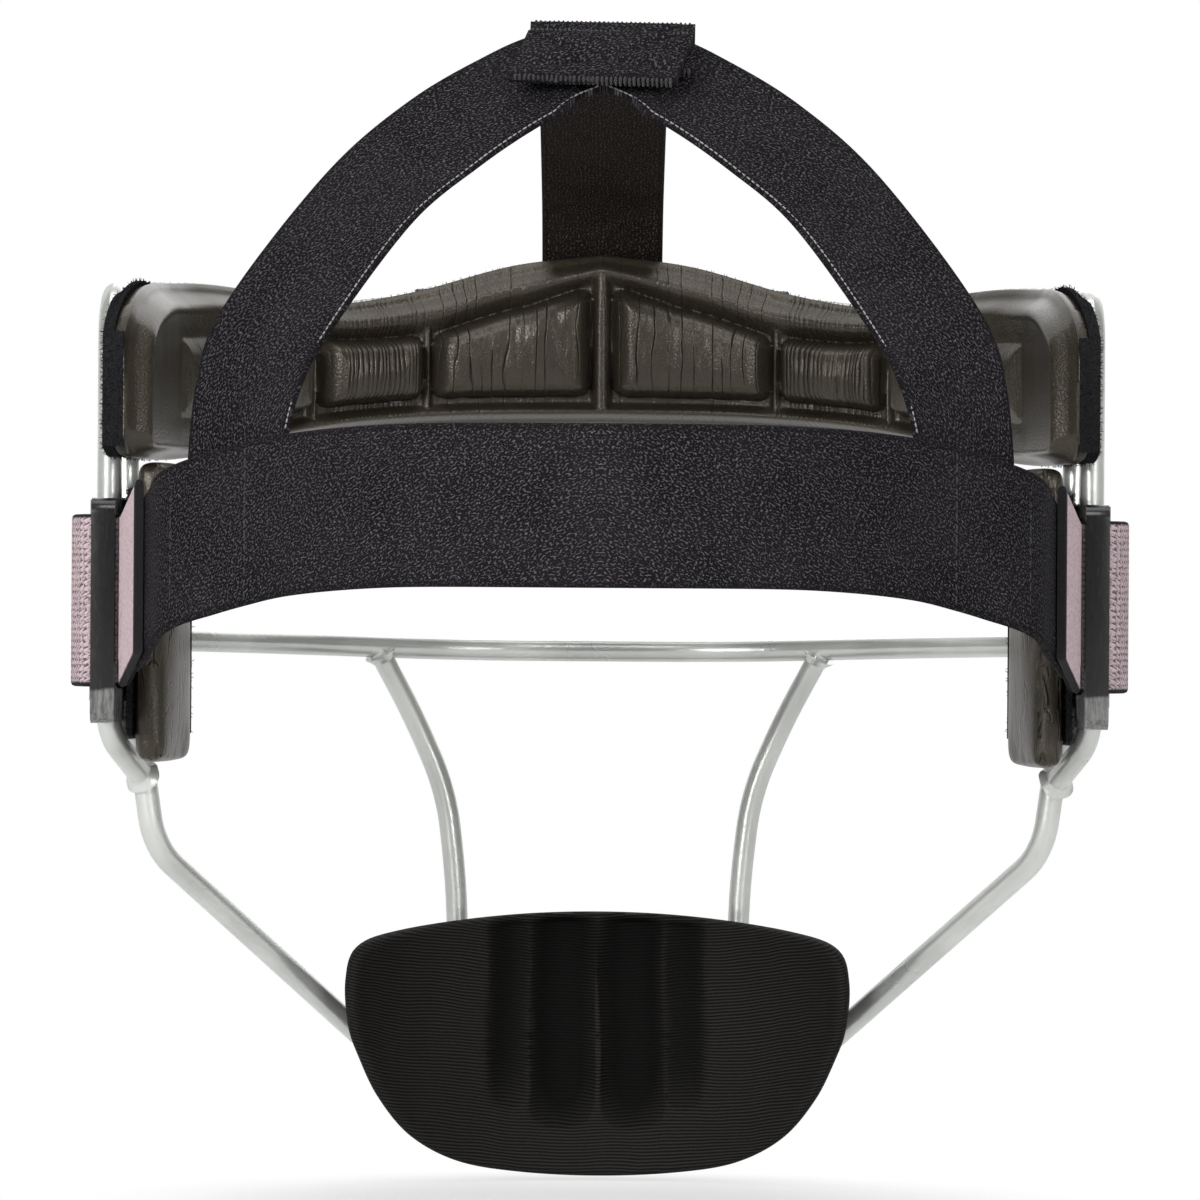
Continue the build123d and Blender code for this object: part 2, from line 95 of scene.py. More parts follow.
# Thickness of the forehead pad: across the roll at its edges, whose widths come first, up the side
# of a raised block, and across the ribs between the blocks
TOP_ROLL = [(0.0, 5.6), (6.0, 6.8), (15.0, 8.9), (34.0, 9.4), (45.0, 8.4), (62.0, 7.0), (80.0, 9.0)]
BOTTOM_ROLL, TAIL_ROLL, END_BLOCK = 4.2, 7.6, 37.0
ROLL_PROFILE = [(0.0, 3.2), (0.09, 4.5), (0.22, 4.7), (0.34, 6.5), (0.5, 8.5), (0.68, 8.5), (0.85, 7.2),
                (1.0, 5.5), (60.0, 5.5)]
BLOCK_PROFILE = [(0.0, 5.5), (0.5, 6.4), (1.3, 9.6), (2.4, 11.5), (4.0, 12.4), (7.0, 12.9), (400.0, 13.0)]
RIB_PROFILE = [(0.0, 7.3), (0.4, 7.1), (1.0, 5.5), (400.0, 5.5)]
MIDDLE_RIB_PROFILE = [(0.0, 8.5), (1.1, 8.3), (1.8, 6.0), (2.2, 5.5), (400.0, 5.5)]
BLOCK_ROUND = 3.6

# Distances of the ribs from the pad's middle, measured round its outer face, half the widths between the
# blocks, the length round the pad, the rounding of its ends, and the front strap's notch in its cloth
BLOCK_GAPS = (65.4, 38.0)
HALF_GAP, MIDDLE_HALF_GAP = 0.75, 1.9
PAD_ROUND = 318.0
TOP_CORNER = (38.0, 15.0)
BOTTOM_CORNER = (10.0, 4.0)
NOTCH = (15.0, 46.5)

# Spacing of the skin's fine and sparse creases
FINE_CREASE, SPARSE_CREASE = 1.15, 3.1

# Cheek pads: the remesh that puffs them, how far their skin may swell and starts drawn in, how far
# forward their cloth reaches, and the slope of the face that it lies on
CHEEK_VOXEL, CHEEK_SWELL, CHEEK_PULL_IN = 1.15, 1.3, 0.5
CHEEK_CLOTH_END = 45.0
CHEEK_SLOPE = 0.749

# Chin cup: where its upright axis stands, its outline in shares, its half width, height and top, its
# wall, the outer face's distance from the axis at three heights, and its sewn channels as the place of
# each, the radius of its section, its depth and how far down it ends
CUP_AXIS = 34.85
CUP_OUTLINE = [(0.0, 0.0), (0.39, -0.015), (0.78, -0.062), (0.955, -0.118), (1.0, -0.24), (0.99, -0.41),
               (0.95, -0.53), (0.87, -0.69), (0.74, -0.84), (0.55, -0.94), (0.3, -0.985), (0.0, -1.0)]
CUP_SIZE = (51.2, 54.0, 64.4)
CUP_WALL = 10.0
CUP_REACH = (63.4, 65.9, 54.9)
CUP_CHANNELS = [(-17.8, 4.2, 3.8, -104.5), (-7.4, 7.4, 5.2, -108.5), (7.4, 7.4, 5.2, -108.5),
                (17.8, 4.2, 3.8, -104.5)]

# Webbing: the same lines as the frame's straps
BAND_SIZE = (91.5, 93.0, 30.0)
BAND_PLAN = [(-0.984, -0.0935), (-0.896, -0.481), (-0.568, -0.763), (-0.36, -0.9), (-0.13, -0.99)]
BAND_SIDE = [(-1.04, 0.573), (-0.86, 0.567), (-0.7, 0.51), (-0.6, 0.43), (-0.5, 0.33), (-0.3, 0.157),
             (-0.05, -0.03)]
BAND_SEAMS = [(38.0, 0.03, 0.97), (58.0, 0.03, 0.97)]
CROWN_HEIGHT = 101.5
CROWN_STRAP = [((-0.012, -0.259, 1.001), (0.2, -0.62)), ((-0.1, -0.266, 0.992), (0.24, -0.62)),
               ((-0.19, -0.285, 0.955), (0.33, -0.6)), ((-0.33, -0.325, 0.872), (0.45, -0.58)),
               ((-0.484, -0.385, 0.747), (0.52, -0.52)), ((-0.662, -0.495, 0.524), (0.68, -0.4)),
               ((-0.72, -0.555, 0.4), (0.74, -0.24)), ((-0.744, -0.577, 0.26), (0.753, 0.0)),
               ((-0.744, -0.577, 0.08), (0.753, 0.0))]
FRONT_STRAP = [(-0.205, 1.395), (-0.15, 1.437), (0.19, 1.35), (0.57, 1.235), (0.88, 1.12)]
STRAP_WIDTH, STRAP_THICK = 25.0, 1.6

# Patch and flap at the crown: half length, width, thickness, the slope they lie on, and the flap's slant
PATCH_HALF, PATCH_WIDTH, PATCH_THICK, PATCH_SLOPE = 15.8, 16.0, 2.0, 39.0
FLAP_SLANT = 0.17

# Side straps: the buckle's bar and the strap's radius round it, the outer and inner layer behind it, the
# fold, the tab's foot, direction and length, and how far the tab rises towards its end
LOOP_BAR, LOOP_RADIUS, LOOP_LAYERS, LOOP_FOLD = (-96.1, 7.0), 3.1, (-92.58, -90.68), -8.0
TAB_FOOT, TAB_AHEAD, TAB_LENGTH, TAB_RISE = (-91.99, -9.13), (0.218, -0.976), 19.0, 6.5
SIDE_WIDTH, SIDE_LOW = 33.5, -17.5

# Stage, in metres and watts. The sweep stands well outside the circle that a camera goes round on.
SWEEP_WIDTH, SWEEP_DEPTH, SWEEP_BEND, SWEEP_HEIGHT = 8.0, 3.2, 1.6, 9.0
FLOOR_GAP, SHADOW_REACH, WORLD_LIGHT = 0.0008, (0.12, 0.165), 0.2
LAMPS = [("key", (-0.85, -1.45, 0.45), 0.55, 25.0), ("fill", (0.85, -1.5, 0.4), 0.55, 13.0),
         ("strip", (0.0, -1.1, 1.4), 0.6, 9.0), ("top", (0.0, 0.1, 1.6), 1.0, 9.0),
         ("front", (0.3, 1.6, 0.9), 1.2, 6.0)]
WHITE = (1.0, 1.0, 1.0, 1.0)


# Sizes and colours that a user would change
class GuardSizes(bpy.types.PropertyGroup):
    """Sizes of the dressing, in metres."""
    wrinkle: bpy.props.FloatProperty(
        name="Pad wrinkles", description="Depth of the creases in the pads' skin", default=0.00055,
        unit="LENGTH")
    fuzz: bpy.props.FloatProperty(
        name="Loop height", description="Height of the loops on the pads' backing", default=0.0007,
        unit="LENGTH")
    distance: bpy.props.FloatProperty(
        name="Camera distance", description="From the camera to the middle of the head", default=1.45,
        unit="LENGTH")
    roll: bpy.props.FloatProperty(
        name="Camera roll", description="Turn of the camera about its own axis", default=math.radians(-0.4),
        subtype="ANGLE")
    lens: bpy.props.FloatProperty(name="Lens", description="Focal length in millimetres", default=224.0)


def colour_property(name, description, default):
    return bpy.props.FloatVectorProperty(
        name=name, description=description, default=default, size=3, subtype="COLOR", min=0.0, max=1.0)


class GuardColours(bpy.types.PropertyGroup):
    """Colours of the finishes."""
    paint: colour_property("Wire paint", "Satin paint on the wires", (0.53, 0.545, 0.52))
    skin: colour_property("Pad skin", "Skin of the forehead and cheek pads", (0.027, 0.0228, 0.0165))
    cloth: colour_property("Cup cloth", "Ribbed cloth of the chin cup", (0.0088, 0.0083, 0.0078))
    black: colour_property("Black", "Loop cloth, hook tape and strap edges", (0.011, 0.011, 0.012))
    plastic: colour_property("Buckles", "Moulded buckles", (0.010, 0.010, 0.011))
    # The side straps' pale mauve is painted sheen: black pile as it looks under strong side light
    knit: colour_property("Side straps", "Knitted face of the side straps", (0.5, 0.395, 0.42))
    webbing: colour_property("Webbing", "Rear band and crown straps", (0.0068, 0.0062, 0.0072))
    speckle: colour_property("Speckle", "Lighter threads in the webbing", (0.105, 0.096, 0.108))
    ribbed: colour_property("Front strap", "Ribbed strap over the forehead", (0.0095, 0.0075, 0.0062))


# Shader nodes
class Term:
    """A socket of a material's tree that takes part in Python arithmetic."""

    def __init__(self, finish, socket):
        self.finish, self.socket = finish, socket

    def join(self, operation, first, second=0.0):
        return self.finish.add("ShaderNodeMath", {"operation": operation}, {0: first, 1: second})

    def __add__(self, other):
        return self.join("ADD", self, other)

    def __sub__(self, other):
        return self.join("SUBTRACT", self, other)

    def __rsub__(self, other):
        return self.join("SUBTRACT", other, self)

    def __mul__(self, other):
        return self.join("MULTIPLY", self, other)

    def __pow__(self, other):
        return self.join("POWER", self, other)

    def __abs__(self):
        return self.join("ABSOLUTE", self)

    __radd__, __rmul__ = __add__, __mul__

    def sine(self):
        return self.join("SINE", self)

    def between(self, low, high):
        """0 below low, 1 above high, smooth between them."""
        settings = {"interpolation_type": "SMOOTHSTEP"}
        return self.finish.add("ShaderNodeMapRange", settings, {0: self, 1: low, 2: high})


class Finish:
    """One material: its principled shader and the nodes that feed it."""

    def __init__(self, name, colour, roughness, **fixed):
        self.material = bpy.data.materials.new(name)
        self.material.use_nodes = True
        self.material.diffuse_color = (*colour, 1.0)
        self.tree = self.material.node_tree
        self.shader = self.tree.nodes["Principled BSDF"]
        self.set("Base Color", (*colour, 1.0))
        self.set("Roughness", roughness)
        for key, value in fixed.items():
            self.set(key.replace("_", " "), value)

    def add(self, kind, settings=None, values=None, output=0):
        node = self.tree.nodes.new(kind)
        for key, value in (settings or {}).items():
            setattr(node, key, value)
        for key, value in (values or {}).items():
            self.feed(node.inputs[key], value)
        return Term(self, node.outputs[output])

    def feed(self, socket, value):
        if isinstance(value, Term):
            self.tree.links.new(value.socket, socket)
        else:
            socket.default_value = value

    def set(self, name, value):
        self.feed(self.shader.inputs[name], value)

    def place(self, stretch=(1.0, 1.0, 1.0)):
        """The piece's own coordinates in millimetres, stretched along each axis."""
        where = self.add("ShaderNodeTexCoord", output="Object")
        scale = tuple(1000.0 * share for share in stretch)
        return self.add("ShaderNodeVectorMath", {"operation": "MULTIPLY"}, {0: where, 1: scale})

    def strap(self):
        """Millimetres along and across a strap, from its UV map."""
        return self.parts(self.add("ShaderNodeUVMap", {"uv_map": "strap"}))[:2]

    def parts(self, where):
        """The three parts of a vector."""
        split = self.add("ShaderNodeSeparateXYZ", values={0: where}).socket.node
        return [Term(self, socket) for socket in split.outputs]

    def attribute(self, name):
        """A value that is stored at the mesh's points."""
        return self.add("ShaderNodeAttribute", {"attribute_name": name}, output="Fac")

    def noise(self, where, scale, detail=2.0, roughness=0.5):
        values = {"Vector": where, "Scale": scale, "Detail": detail, "Roughness": roughness}
        return self.add("ShaderNodeTexNoise", values=values)

    def cells(self, where, scale):
        """Distance from the edges of small cells."""
        return self.add("ShaderNodeTexVoronoi", {"feature": "DISTANCE_TO_EDGE"},
                        {"Vector": where, "Scale": scale}, output="Distance")

    def mix(self, share, first, second):
        return self.add("ShaderNodeMix", {"data_type": "RGBA"}, {0: share, 6: first, 7: second}, output=2)

    def bump(self, height, depth, strength=1.0):
        values = {"Strength": strength, "Distance": depth, "Height": height}
        return self.add("ShaderNodeBump", values=values)


def shade(colour, share):
    """A colour made lighter or darker by a share, with its alpha."""
    return (*(min(1.0, part * share) for part in colour), 1.0)


def satin_paint(colour):
    """Silver paint with a faint orange peel and small dull patches."""
    finish = Finish("satin_paint", colour, 0.3, Metallic=0.6, IOR=1.5)
    where = finish.place()
    peel, drift = finish.noise(where, 0.55, 3.0), finish.noise(where, 0.05, 3.0)
    finish.set("Base Color", finish.mix(drift.between(0.3, 0.7), shade(colour, 0.88), shade(colour, 1.08)))
    finish.set("Roughness", 0.22 + 0.16 * drift)
    finish.set("Normal", finish.bump(peel, 0.00006))
    return finish.material


def pad_skin(colour, name="pad_skin", moulded=False):
    """Leather-like skin: pebbled grain, pores and long creases, in rows on the moulded blocks, with painted
    shade in the creases and, on the moulded pad, in the channel round each block.
    """
    finish = Finish(name, colour, 0.33, Specular_IOR_Level=0.5, Specular_Tint=(1.0, 0.92, 0.8, 1.0))
    where = finish.place()
    wobble = finish.add("ShaderNodeTexNoise", values={"Vector": where, "Scale": 0.5}, output="Color")
    grain = finish.cells(finish.mix(0.18, where, wobble), 1.5).between(0.0, 0.3)
    pores, cloud = finish.noise(where, 2.6, 3.0), finish.noise(where, 0.045, 4.0, 0.6)
    tint = finish.mix(cloud.between(0.3, 0.72), shade(colour, 0.85), shade(colour, 1.3))
    tint = finish.mix(grain, shade(colour, 0.74), tint)
    normal = finish.bump(grain * 0.5 + pores * 0.3, 0.00009, 0.6)
    if moulded:
        along, up = finish.strap()
        spot = finish.add("ShaderNodeCombineXYZ", values={0: along, 1: up * 0.16})
        sway = finish.noise(spot, 0.15, 2.0) * 4.0 + finish.noise(spot, 0.7, 1.0) * 0.7
        fine = (1 - abs(((along + sway) * (math.pi / FINE_CREASE)).sine())) ** 1.6
        sparse = (1 - abs(((along + sway * 1.6) * (math.pi / SPARSE_CREASE)).sine())) ** 12
        small = abs(along - PAD_ROUND / 2).between(37.0, 39.5)
        height = finish.attribute("crease")
        lines = (fine * small * 0.75 + sparse * (1 - small * 0.7)) * height
        lines = lines * finish.noise(spot, 0.22, 2.0).between(0.38, 0.55)
        groove_shade = finish.attribute("groove_shade")
        # Painted shade: the skin is darkened in the channel round each block
        tint = finish.mix(groove_shade * 0.7, tint, shade(colour, 0.3))
    else:
        spot = finish.place((0.5, 0.5, 0.13))
        fold = abs(finish.noise(spot, 0.34, 2.0, 0.55) - 0.5)
        second = abs(finish.noise(spot, 0.62, 1.0) - 0.5)
        rear = finish.attribute("crease")
        broken = finish.noise(spot, 0.9, 1.0).between(0.45, 0.58)
        lines = (fold.between(0.03, 0.0) + second.between(0.025, 0.0)) * broken * rear
    # Painted shade: the crease lines are darkened as well as bumped in
    tint = finish.mix(lines * 0.7, tint, shade(colour, 0.4))
    normal = finish.add("ShaderNodeBump", {"invert": True}, {
        "Strength": 0.9, "Distance": 0.0005, "Height": lines, "Normal": normal})
    finish.set("Base Color", tint)
    finish.set("Roughness", 0.27 + 0.1 * cloud + 0.08 * pores)
    finish.set("Normal", normal)
    return finish.material


def loop_cloth(colour):
    """Brushed loop cloth."""
    finish = Finish("loop_cloth", colour, 0.95, Specular_IOR_Level=0.05)
    where = finish.place()
    fibre, clump = finish.noise(where, 3.2, 4.0, 0.7), finish.noise(where, 0.6, 2.0)
    finish.set("Base Color", finish.mix(fibre.between(0.35, 0.7), shade(colour, 0.6), shade(colour, 2.2)))
    finish.set("Normal", finish.bump(fibre + clump, 0.0004, 0.9))
    return finish.material


def cup_cloth(colour):
    """Close ribbed cloth, its ribs running across the cup, darkened in the sewn channels by painted shade.
    """
    finish = Finish("cup_cloth", colour, 0.8, Specular_IOR_Level=0.06)
    where = finish.place()
    across, _, up = finish.parts(where)
    drift, fibre = finish.noise(where, 0.05, 2.0), finish.noise(where, 2.2, 3.0, 0.65)
    rib = ((up - across * across * 0.0022 + 2.5 * drift) * (2 * math.pi / 0.66)).sine() * 0.5 + 0.5
    weave = rib * 0.65 + fibre * 0.5
    channel_shade = finish.attribute("channel_shade")
    cloth = finish.mix(weave.between(0.3, 0.95), shade(colour, 0.5), shade(colour, 2.2))
    # Painted shade: the cloth is darkened in the deep parts of the sewn channels
    finish.set("Base Color", finish.mix(channel_shade * 0.85, cloth, shade(colour, 0.2)))
    finish.set("Roughness", 0.7 + 0.2 * fibre)
    finish.set("Normal", finish.bump(weave, 0.00018, 0.9))
    return finish.material


def moulded_plastic(colour):
    """Moulded plastic with fine scuffs, and painted light that makes its foot pale grey."""
    finish = Finish("moulded_plastic", colour, 0.22, Coat_Weight=0.15, Coat_Roughness=0.08,
                    Specular_IOR_Level=0.3)
    where = finish.place((1.0, 1.0, 0.15))
    scuff, soft = finish.noise(where, 1.6, 4.0, 0.7), finish.noise(where, 0.16, 2.0)
    finish.set("Roughness", 0.24 + 0.1 * scuff.between(0.45, 0.75))
    foot = (finish.parts(finish.place())[2] + soft * 2.0).between(-16.6, -17.4)
    black = finish.mix(scuff.between(0.6, 0.8), shade(colour, 0.7), shade(colour, 1.6))
    # Painted light: the foot is made pale grey, as the black lug looks when lit from below
    lit_foot_grey = finish.mix(scuff.between(0.35, 0.6), (0.06, 0.06, 0.06, 1.0), (0.14, 0.14, 0.137, 1.0))
    finish.set("Base Color", finish.mix(foot, black, lit_foot_grey))
    finish.set("Normal", finish.bump(soft, 0.00005, 0.4))
    return finish.material


def knitted_strap(colour, dark):
    """Knit: coarse slanted stitches with dark gaps round the buckle, finer on the tab, bound dark; its pale
    mauve is painted sheen, black pile as it looks under strong side light.
    """
    finish = Finish("knitted_strap", colour, 0.85, Specular_IOR_Level=0.15)
    along, across = finish.strap()
    fibre, fluff = finish.noise(finish.place(), 2.2, 4.0, 0.7), finish.noise(finish.place(), 0.9, 3.0, 0.7)
    lean = abs(((across + fluff * 1.5) * (math.pi / 1.2)).sine())
    row = ((along + lean * 0.8 + fluff * 3.0) * (2 * math.pi / 1.3)).sine() * 0.5 + 0.5
    coarse = row * 0.5 + lean * 0.35 + fibre * 0.35
    fine = finish.noise(finish.place(), 1.5, 3.0, 0.7) * 0.75 + fibre * 0.35
    tab = along.between(-23.0, -20.0)
    gaps = finish.mix(coarse.between(0.34, 0.72), shade(colour, 0.22), shade(colour, 1.15))
    fluffy = finish.mix(fine.between(0.35, 0.62), shade(colour, 0.6), shade(colour, 1.15))
    bound = (across + fibre * 0.9).between(-15.0, -15.7) + (along + fibre * 0.9).between(-1.6, -1.1)
    sides = abs(across + fibre * 0.9 - 0.4).between(16.0, 16.3)
    bound = finish.add("ShaderNodeClamp", values={0: bound + sides})
    finish.set("Base Color", finish.mix(bound, finish.mix(tab, gaps, fluffy), shade(dark, 1.2)))
    finish.set("Roughness", 0.72 + 0.2 * fibre)
    finish.set("Normal", finish.bump(coarse * (1 - tab) + fine * tab, 0.0005, 0.9))
    return finish.material


def woven(name, colour, light, fleck, half_width, ribs=0.4):
    """Crepe-like webbing: short flecks of lighter yarn over a near black ground.

    A fleck is its length, its width, its slant and the pitch of the rows."""
    finish = Finish(name, colour, 0.85, Specular_IOR_Level=0.05)
    along, across = finish.strap()
    long, wide, slant, pitch = fleck
    drift = finish.noise(finish.place(), 0.35, 2.0)
    spot = finish.add("ShaderNodeCombineXYZ", values={
        0: (along + across * slant) * (1 / long), 1: (across - along * slant) * (1 / wide)})
    yarn = finish.noise(spot, 1.0, 1.0, 0.4).between(0.51, 0.6)
    row = ((across + drift * 1.5) * (2 * math.pi / pitch)).sine() * 0.5 + 0.5
    fibre, cloud = finish.noise(finish.place(), 3.4, 3.0, 0.7), finish.noise(finish.place(), 0.07, 3.0)
    weave = yarn * (1 - ribs + ribs * row)
    edge = abs(across).between(half_width - 1.3, half_width - 0.9)
    ground = finish.mix(cloud.between(0.3, 0.7), shade(colour, 0.75), shade(colour, 1.3))
    flecked = finish.mix(weave * (0.35 + 0.65 * fibre.between(0.3, 0.7)), ground, (*light, 1.0))
    finish.set("Base Color", finish.mix(edge * 0.5, flecked, shade(colour, 0.9)))
    finish.set("Roughness", 0.75 + 0.15 * fibre)
    finish.set("Normal", finish.bump(weave + edge * 0.3, 0.0005, 1.0))
    return finish.material


def thread_finish(name, colour):
    """Twisted thread."""
    finish = Finish(name, colour, 0.7, Sheen_Weight=0.2)
    fibre = finish.noise(finish.place(), 5.0, 3.0)
    finish.set("Base Color", finish.mix(fibre, shade(colour, 0.6), shade(colour, 1.4)))
    finish.set("Normal", finish.bump(fibre, 0.0001, 0.8))
    return finish.material


def materials():
    """The object's finishes by name, made once."""
    made = getattr(materials, "made", None)
    if made is None:
        tints = bpy.context.scene.guard_colours
        made = {
            "paint": satin_paint(tints.paint[:]),
            "skin": pad_skin(tints.skin[:]),
            "creased": pad_skin(tints.skin[:], "moulded_skin", True),
            "loop": loop_cloth(tints.black[:]),
            "hooks": thread_finish("hook_tape", tints.black[:]),
            "cup": cup_cloth(tints.cloth[:]),
            "plastic": moulded_plastic(tints.plastic[:]),
            "knit": knitted_strap(tints.knit[:], tints.black[:]),
            "elastic": woven("elastic", tints.webbing[:], tints.speckle[:], (0.6, 0.36, 0.5, 1.0), 15.0),
            "webbing": woven("webbing", tints.webbing[:], tints.speckle[:], (0.6, 0.36, -0.45, 1.0), 12.5),
            "ribbed": woven("ribbed_webbing", tints.ribbed[:], (0.125, 0.102, 0.09), (0.7, 0.36, 0.1, 0.75),
                            12.5, 0.8),
            "patch": woven("patch_cloth", tints.webbing[:], tints.speckle[:], (0.6, 0.4, 0.4, 1.1), 8.0),
            "thread": thread_finish("dark_thread", tints.webbing[:]),
            "pale_thread": thread_finish("pale_thread", (0.2, 0.185, 0.19)),
        }
        materials.made = made
    return made


# Lines and meshes
def bent(points, tight=None, reach=0.45, step=0.6):
    """Straight runs joined by arcs that use a share of the shorter run; tight caps some radii."""
    points = [Vector((*point, 0.0)[:3]) for point in points]
    last = len(points) - 1
    route = [points[0]]
    for place in range(1, last):
        back, ahead = points[place - 1] - points[place], points[place + 1] - points[place]
        half = (math.pi - back.angle(ahead)) / 2
        radius = reach * min(back.length, ahead.length) / math.tan(half)
        for corner, limit in (tight or {}).items():
            if place in (corner, last - corner):
                radius = min(radius, limit)
        run = radius * math.tan(half)
        inward = (back.normalized() + ahead.normalized()).normalized()
        centre = points[place] + inward * (radius / math.cos(half))
        first = points[place] + back.normalized() * run - centre
        second = points[place] + ahead.normalized() * run - centre
        count = max(2, math.ceil(2 * half * radius / step))
        for index in range(count + 1):
            share = index / count
            turn = math.sin((1 - share) * 2 * half) * first + math.sin(share * 2 * half) * second
            route.append(centre + turn / math.sin(2 * half))
    return np.array([*route, points[-1]])


def spaced(route, step):
    """The route again at even spacing, with the distance along it."""
    route = np.asarray(route, float)
    run = np.concatenate([[0.0], np.cumsum(np.linalg.norm(np.diff(route, axis=0), axis=1))])
    count = max(2, round(run[-1] / step))
    at = np.linspace(0.0, run[-1], count + 1)
    return np.column_stack([np.interp(at, run, column) for column in route.T]), at


def through(points, count=12):
    """A smooth curve through every point, count steps to a run."""
    points = np.asarray(points, float)
    ends = np.vstack([2 * points[0] - points[1], points, 2 * points[-1] - points[-2]])
    route = []
    for a, b, c, d in zip(ends, ends[1:], ends[2:], ends[3:]):
        for share in np.arange(count) / count:
            route.append(0.5 * (2 * b + (c - a) * share + (2 * a - 5 * b + 4 * c - d) * share ** 2
                                + (3 * b - 3 * c + d - a) * share ** 3))
    return np.array([*route, points[-1]])


def scaled(shares, *sizes):
    return [tuple(share * size for share, size in zip(row, sizes)) for row in shares]


def mirrored(points):
    return list(points) + [(-x, *rest) for x, *rest in reversed(points)]


def unit(vectors):
    return vectors / np.linalg.norm(vectors, axis=-1, keepdims=True)


def softened(table, spread=0.25):
    """A smooth version of a table of (distance, height) as a function of distance."""
    at = np.linspace(0.0, 30.0, 1201) if spread > 0.1 else np.linspace(0.0, 3.0, 1201)
    high = np.interp(at, *zip(*table))
    kernel = np.exp(-0.5 * (np.arange(-60, 61) * at[1] / spread) ** 2)
    padded = np.pad(high, 60, mode="edge")
    return lambda distance: np.interp(distance, at, np.convolve(padded, kernel / kernel.sum(), "valid"))


def creases(points, stretch, seed, octaves=3):
    """Sharp folds between 0 and 1 at each point, from ridged noise stretched along each axis."""
    values = []
    for point in np.asarray(points, float) * stretch + seed:
        values.append(noise.ridged_multi_fractal(point, 1.0, 2.0, octaves, 0.9, 2.0,
                                                 noise_basis="PERLIN_ORIGINAL"))
    return np.clip(np.array(values) / 2.4, 0.0, 1.0)


def swells(points, stretch, seed):
    """Soft unevenness between about -1 and 1 at each point."""
    return np.array([noise.noise(point) for point in np.asarray(points, float) * stretch + seed])


def linked(name, data):
    """A new object in the scene."""
    obj = bpy.data.objects.new(name, data)
    bpy.context.scene.collection.objects.link(obj)
    return obj


def marked(mesh, name, values):
    """Stores a value at each point of a mesh, for its finish to read."""
    mesh.attributes.new(name, "FLOAT", "POINT").data.foreach_set("value", values.ravel())


def piece(name, mesh, material, body, nodes=(), ride=True):
    """Links a mesh as an object in its finish, ties it to its body unless ride is off, and hides the nodes
    it stands for.
    """
    obj = linked(name, mesh)
    if material is not None:
        mesh.materials.clear()
        mesh.materials.append(material)
    if ride:
        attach(obj, body)
    if nodes:
        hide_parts(*nodes)
    return obj


def tidy(mesh, angle=40.0, merge=None):
    """Merges doubles where asked, turns every face outward and shades it smooth up to an angle."""
    work = bmesh.new()
    work.from_mesh(mesh)
    if merge:
        bmesh.ops.remove_doubles(work, verts=work.verts, dist=merge)
    bmesh.ops.recalc_face_normals(work, faces=work.faces)
    for face in work.faces:
        face.smooth = True
    work.to_mesh(mesh)
    work.free()
    mesh.set_sharp_from_angle(angle=math.radians(angle))
    return mesh


def rounded_least(*distances, radius):
    """The least of several distances to an outline's sides, with the corners between them rounded."""
    outside = sum(np.maximum(radius - distance, 0.0) ** 2 for distance in distances)
    return np.maximum(radius, np.minimum.reduce(distances)) - np.sqrt(outside)


def skinned(name, rings, along=None, across=None, angle=40.0):
    """A closed mesh from rings of points in mm, with its length and width as a UV map in mm."""
    rows, count = rings.shape[:2]
    grid = np.arange(rows * count).reshape(rows, count)
    low, high = grid[:-1], grid[1:]
    quads = np.stack([low, np.roll(low, -1, 1), np.roll(high, -1, 1), high], axis=-1).reshape(-1, 4)
    faces = quads.tolist() + [grid[0][::-1].tolist(), grid[-1].tolist()]
    mesh = bpy.data.meshes.new(name)
    mesh.from_pydata((rings.reshape(-1, 3) * MM).tolist(), [], faces)
    if along is not None:
        across = np.broadcast_to(across, (rows, count))
        flat = np.stack(np.broadcast_arrays(along[:, None], across), axis=-1).reshape(-1, 2)
        corners = np.empty(len(mesh.loops), np.int32)
        mesh.loops.foreach_get("vertex_index", corners)
        mesh.uv_layers.new(name="strap").data.foreach_set("uv", flat[corners].ravel())
    return tidy(mesh, angle)


def flat_section(width, thickness, count=15, corner=3):
    """A flat section with round edges: where across the width, and how far off its middle."""
    reach, half = width / 2 - thickness / 2, thickness / 2
    top = [(place, half) for place in np.linspace(-reach, reach, count)]
    turns = [math.pi / 2 - math.pi * (index + 1) / (corner + 1) for index in range(corner)]
    edge = [(reach + half * math.cos(turn), half * math.sin(turn)) for turn in turns]
    side = top + edge
    return np.array(side + [(-across, -off) for across, off in side])


def ribbon(name, middles, asides, width, thickness, relief=None, from_end=False, limit=None):
    """Webbing along a line: relief moves its faces in or out, and limit trims its width on one side."""
    middles = np.asarray(middles, float)
    at = np.concatenate([[0.0], np.cumsum(np.linalg.norm(np.diff(middles, axis=0), axis=1))])
    ahead = unit(np.gradient(middles, axis=0))
    asides = np.asarray(asides, float)
    asides = unit(asides - ahead * (asides * ahead).sum(1, keepdims=True))
    outs = np.cross(asides, ahead)
    section = flat_section(width, thickness)
    across, off = section[:, 0], section[:, 1]
    lift = np.broadcast_to(off, (len(middles), len(off))).copy()
    if relief is not None:
        lift += np.sign(off) * relief(at[:, None], across[None, :])
    if limit is not None:
        across = np.minimum(across[None, :], limit(at)[:, None])
    across = np.broadcast_to(across, lift.shape)
    rings = middles[:, None] + asides[:, None] * across[..., None] + outs[:, None] * lift[..., None]
    return skinned(name, rings, at - at[-1] * from_end, across), outs


def evaluated(obj):
    """The object's mesh with its modifiers applied, as a new mesh, and the modifiers removed."""
    bpy.context.view_layer.update()
    result = bpy.data.meshes.new_from_object(obj.evaluated_get(bpy.context.evaluated_depsgraph_get()))
    obj.modifiers.clear()
    return result


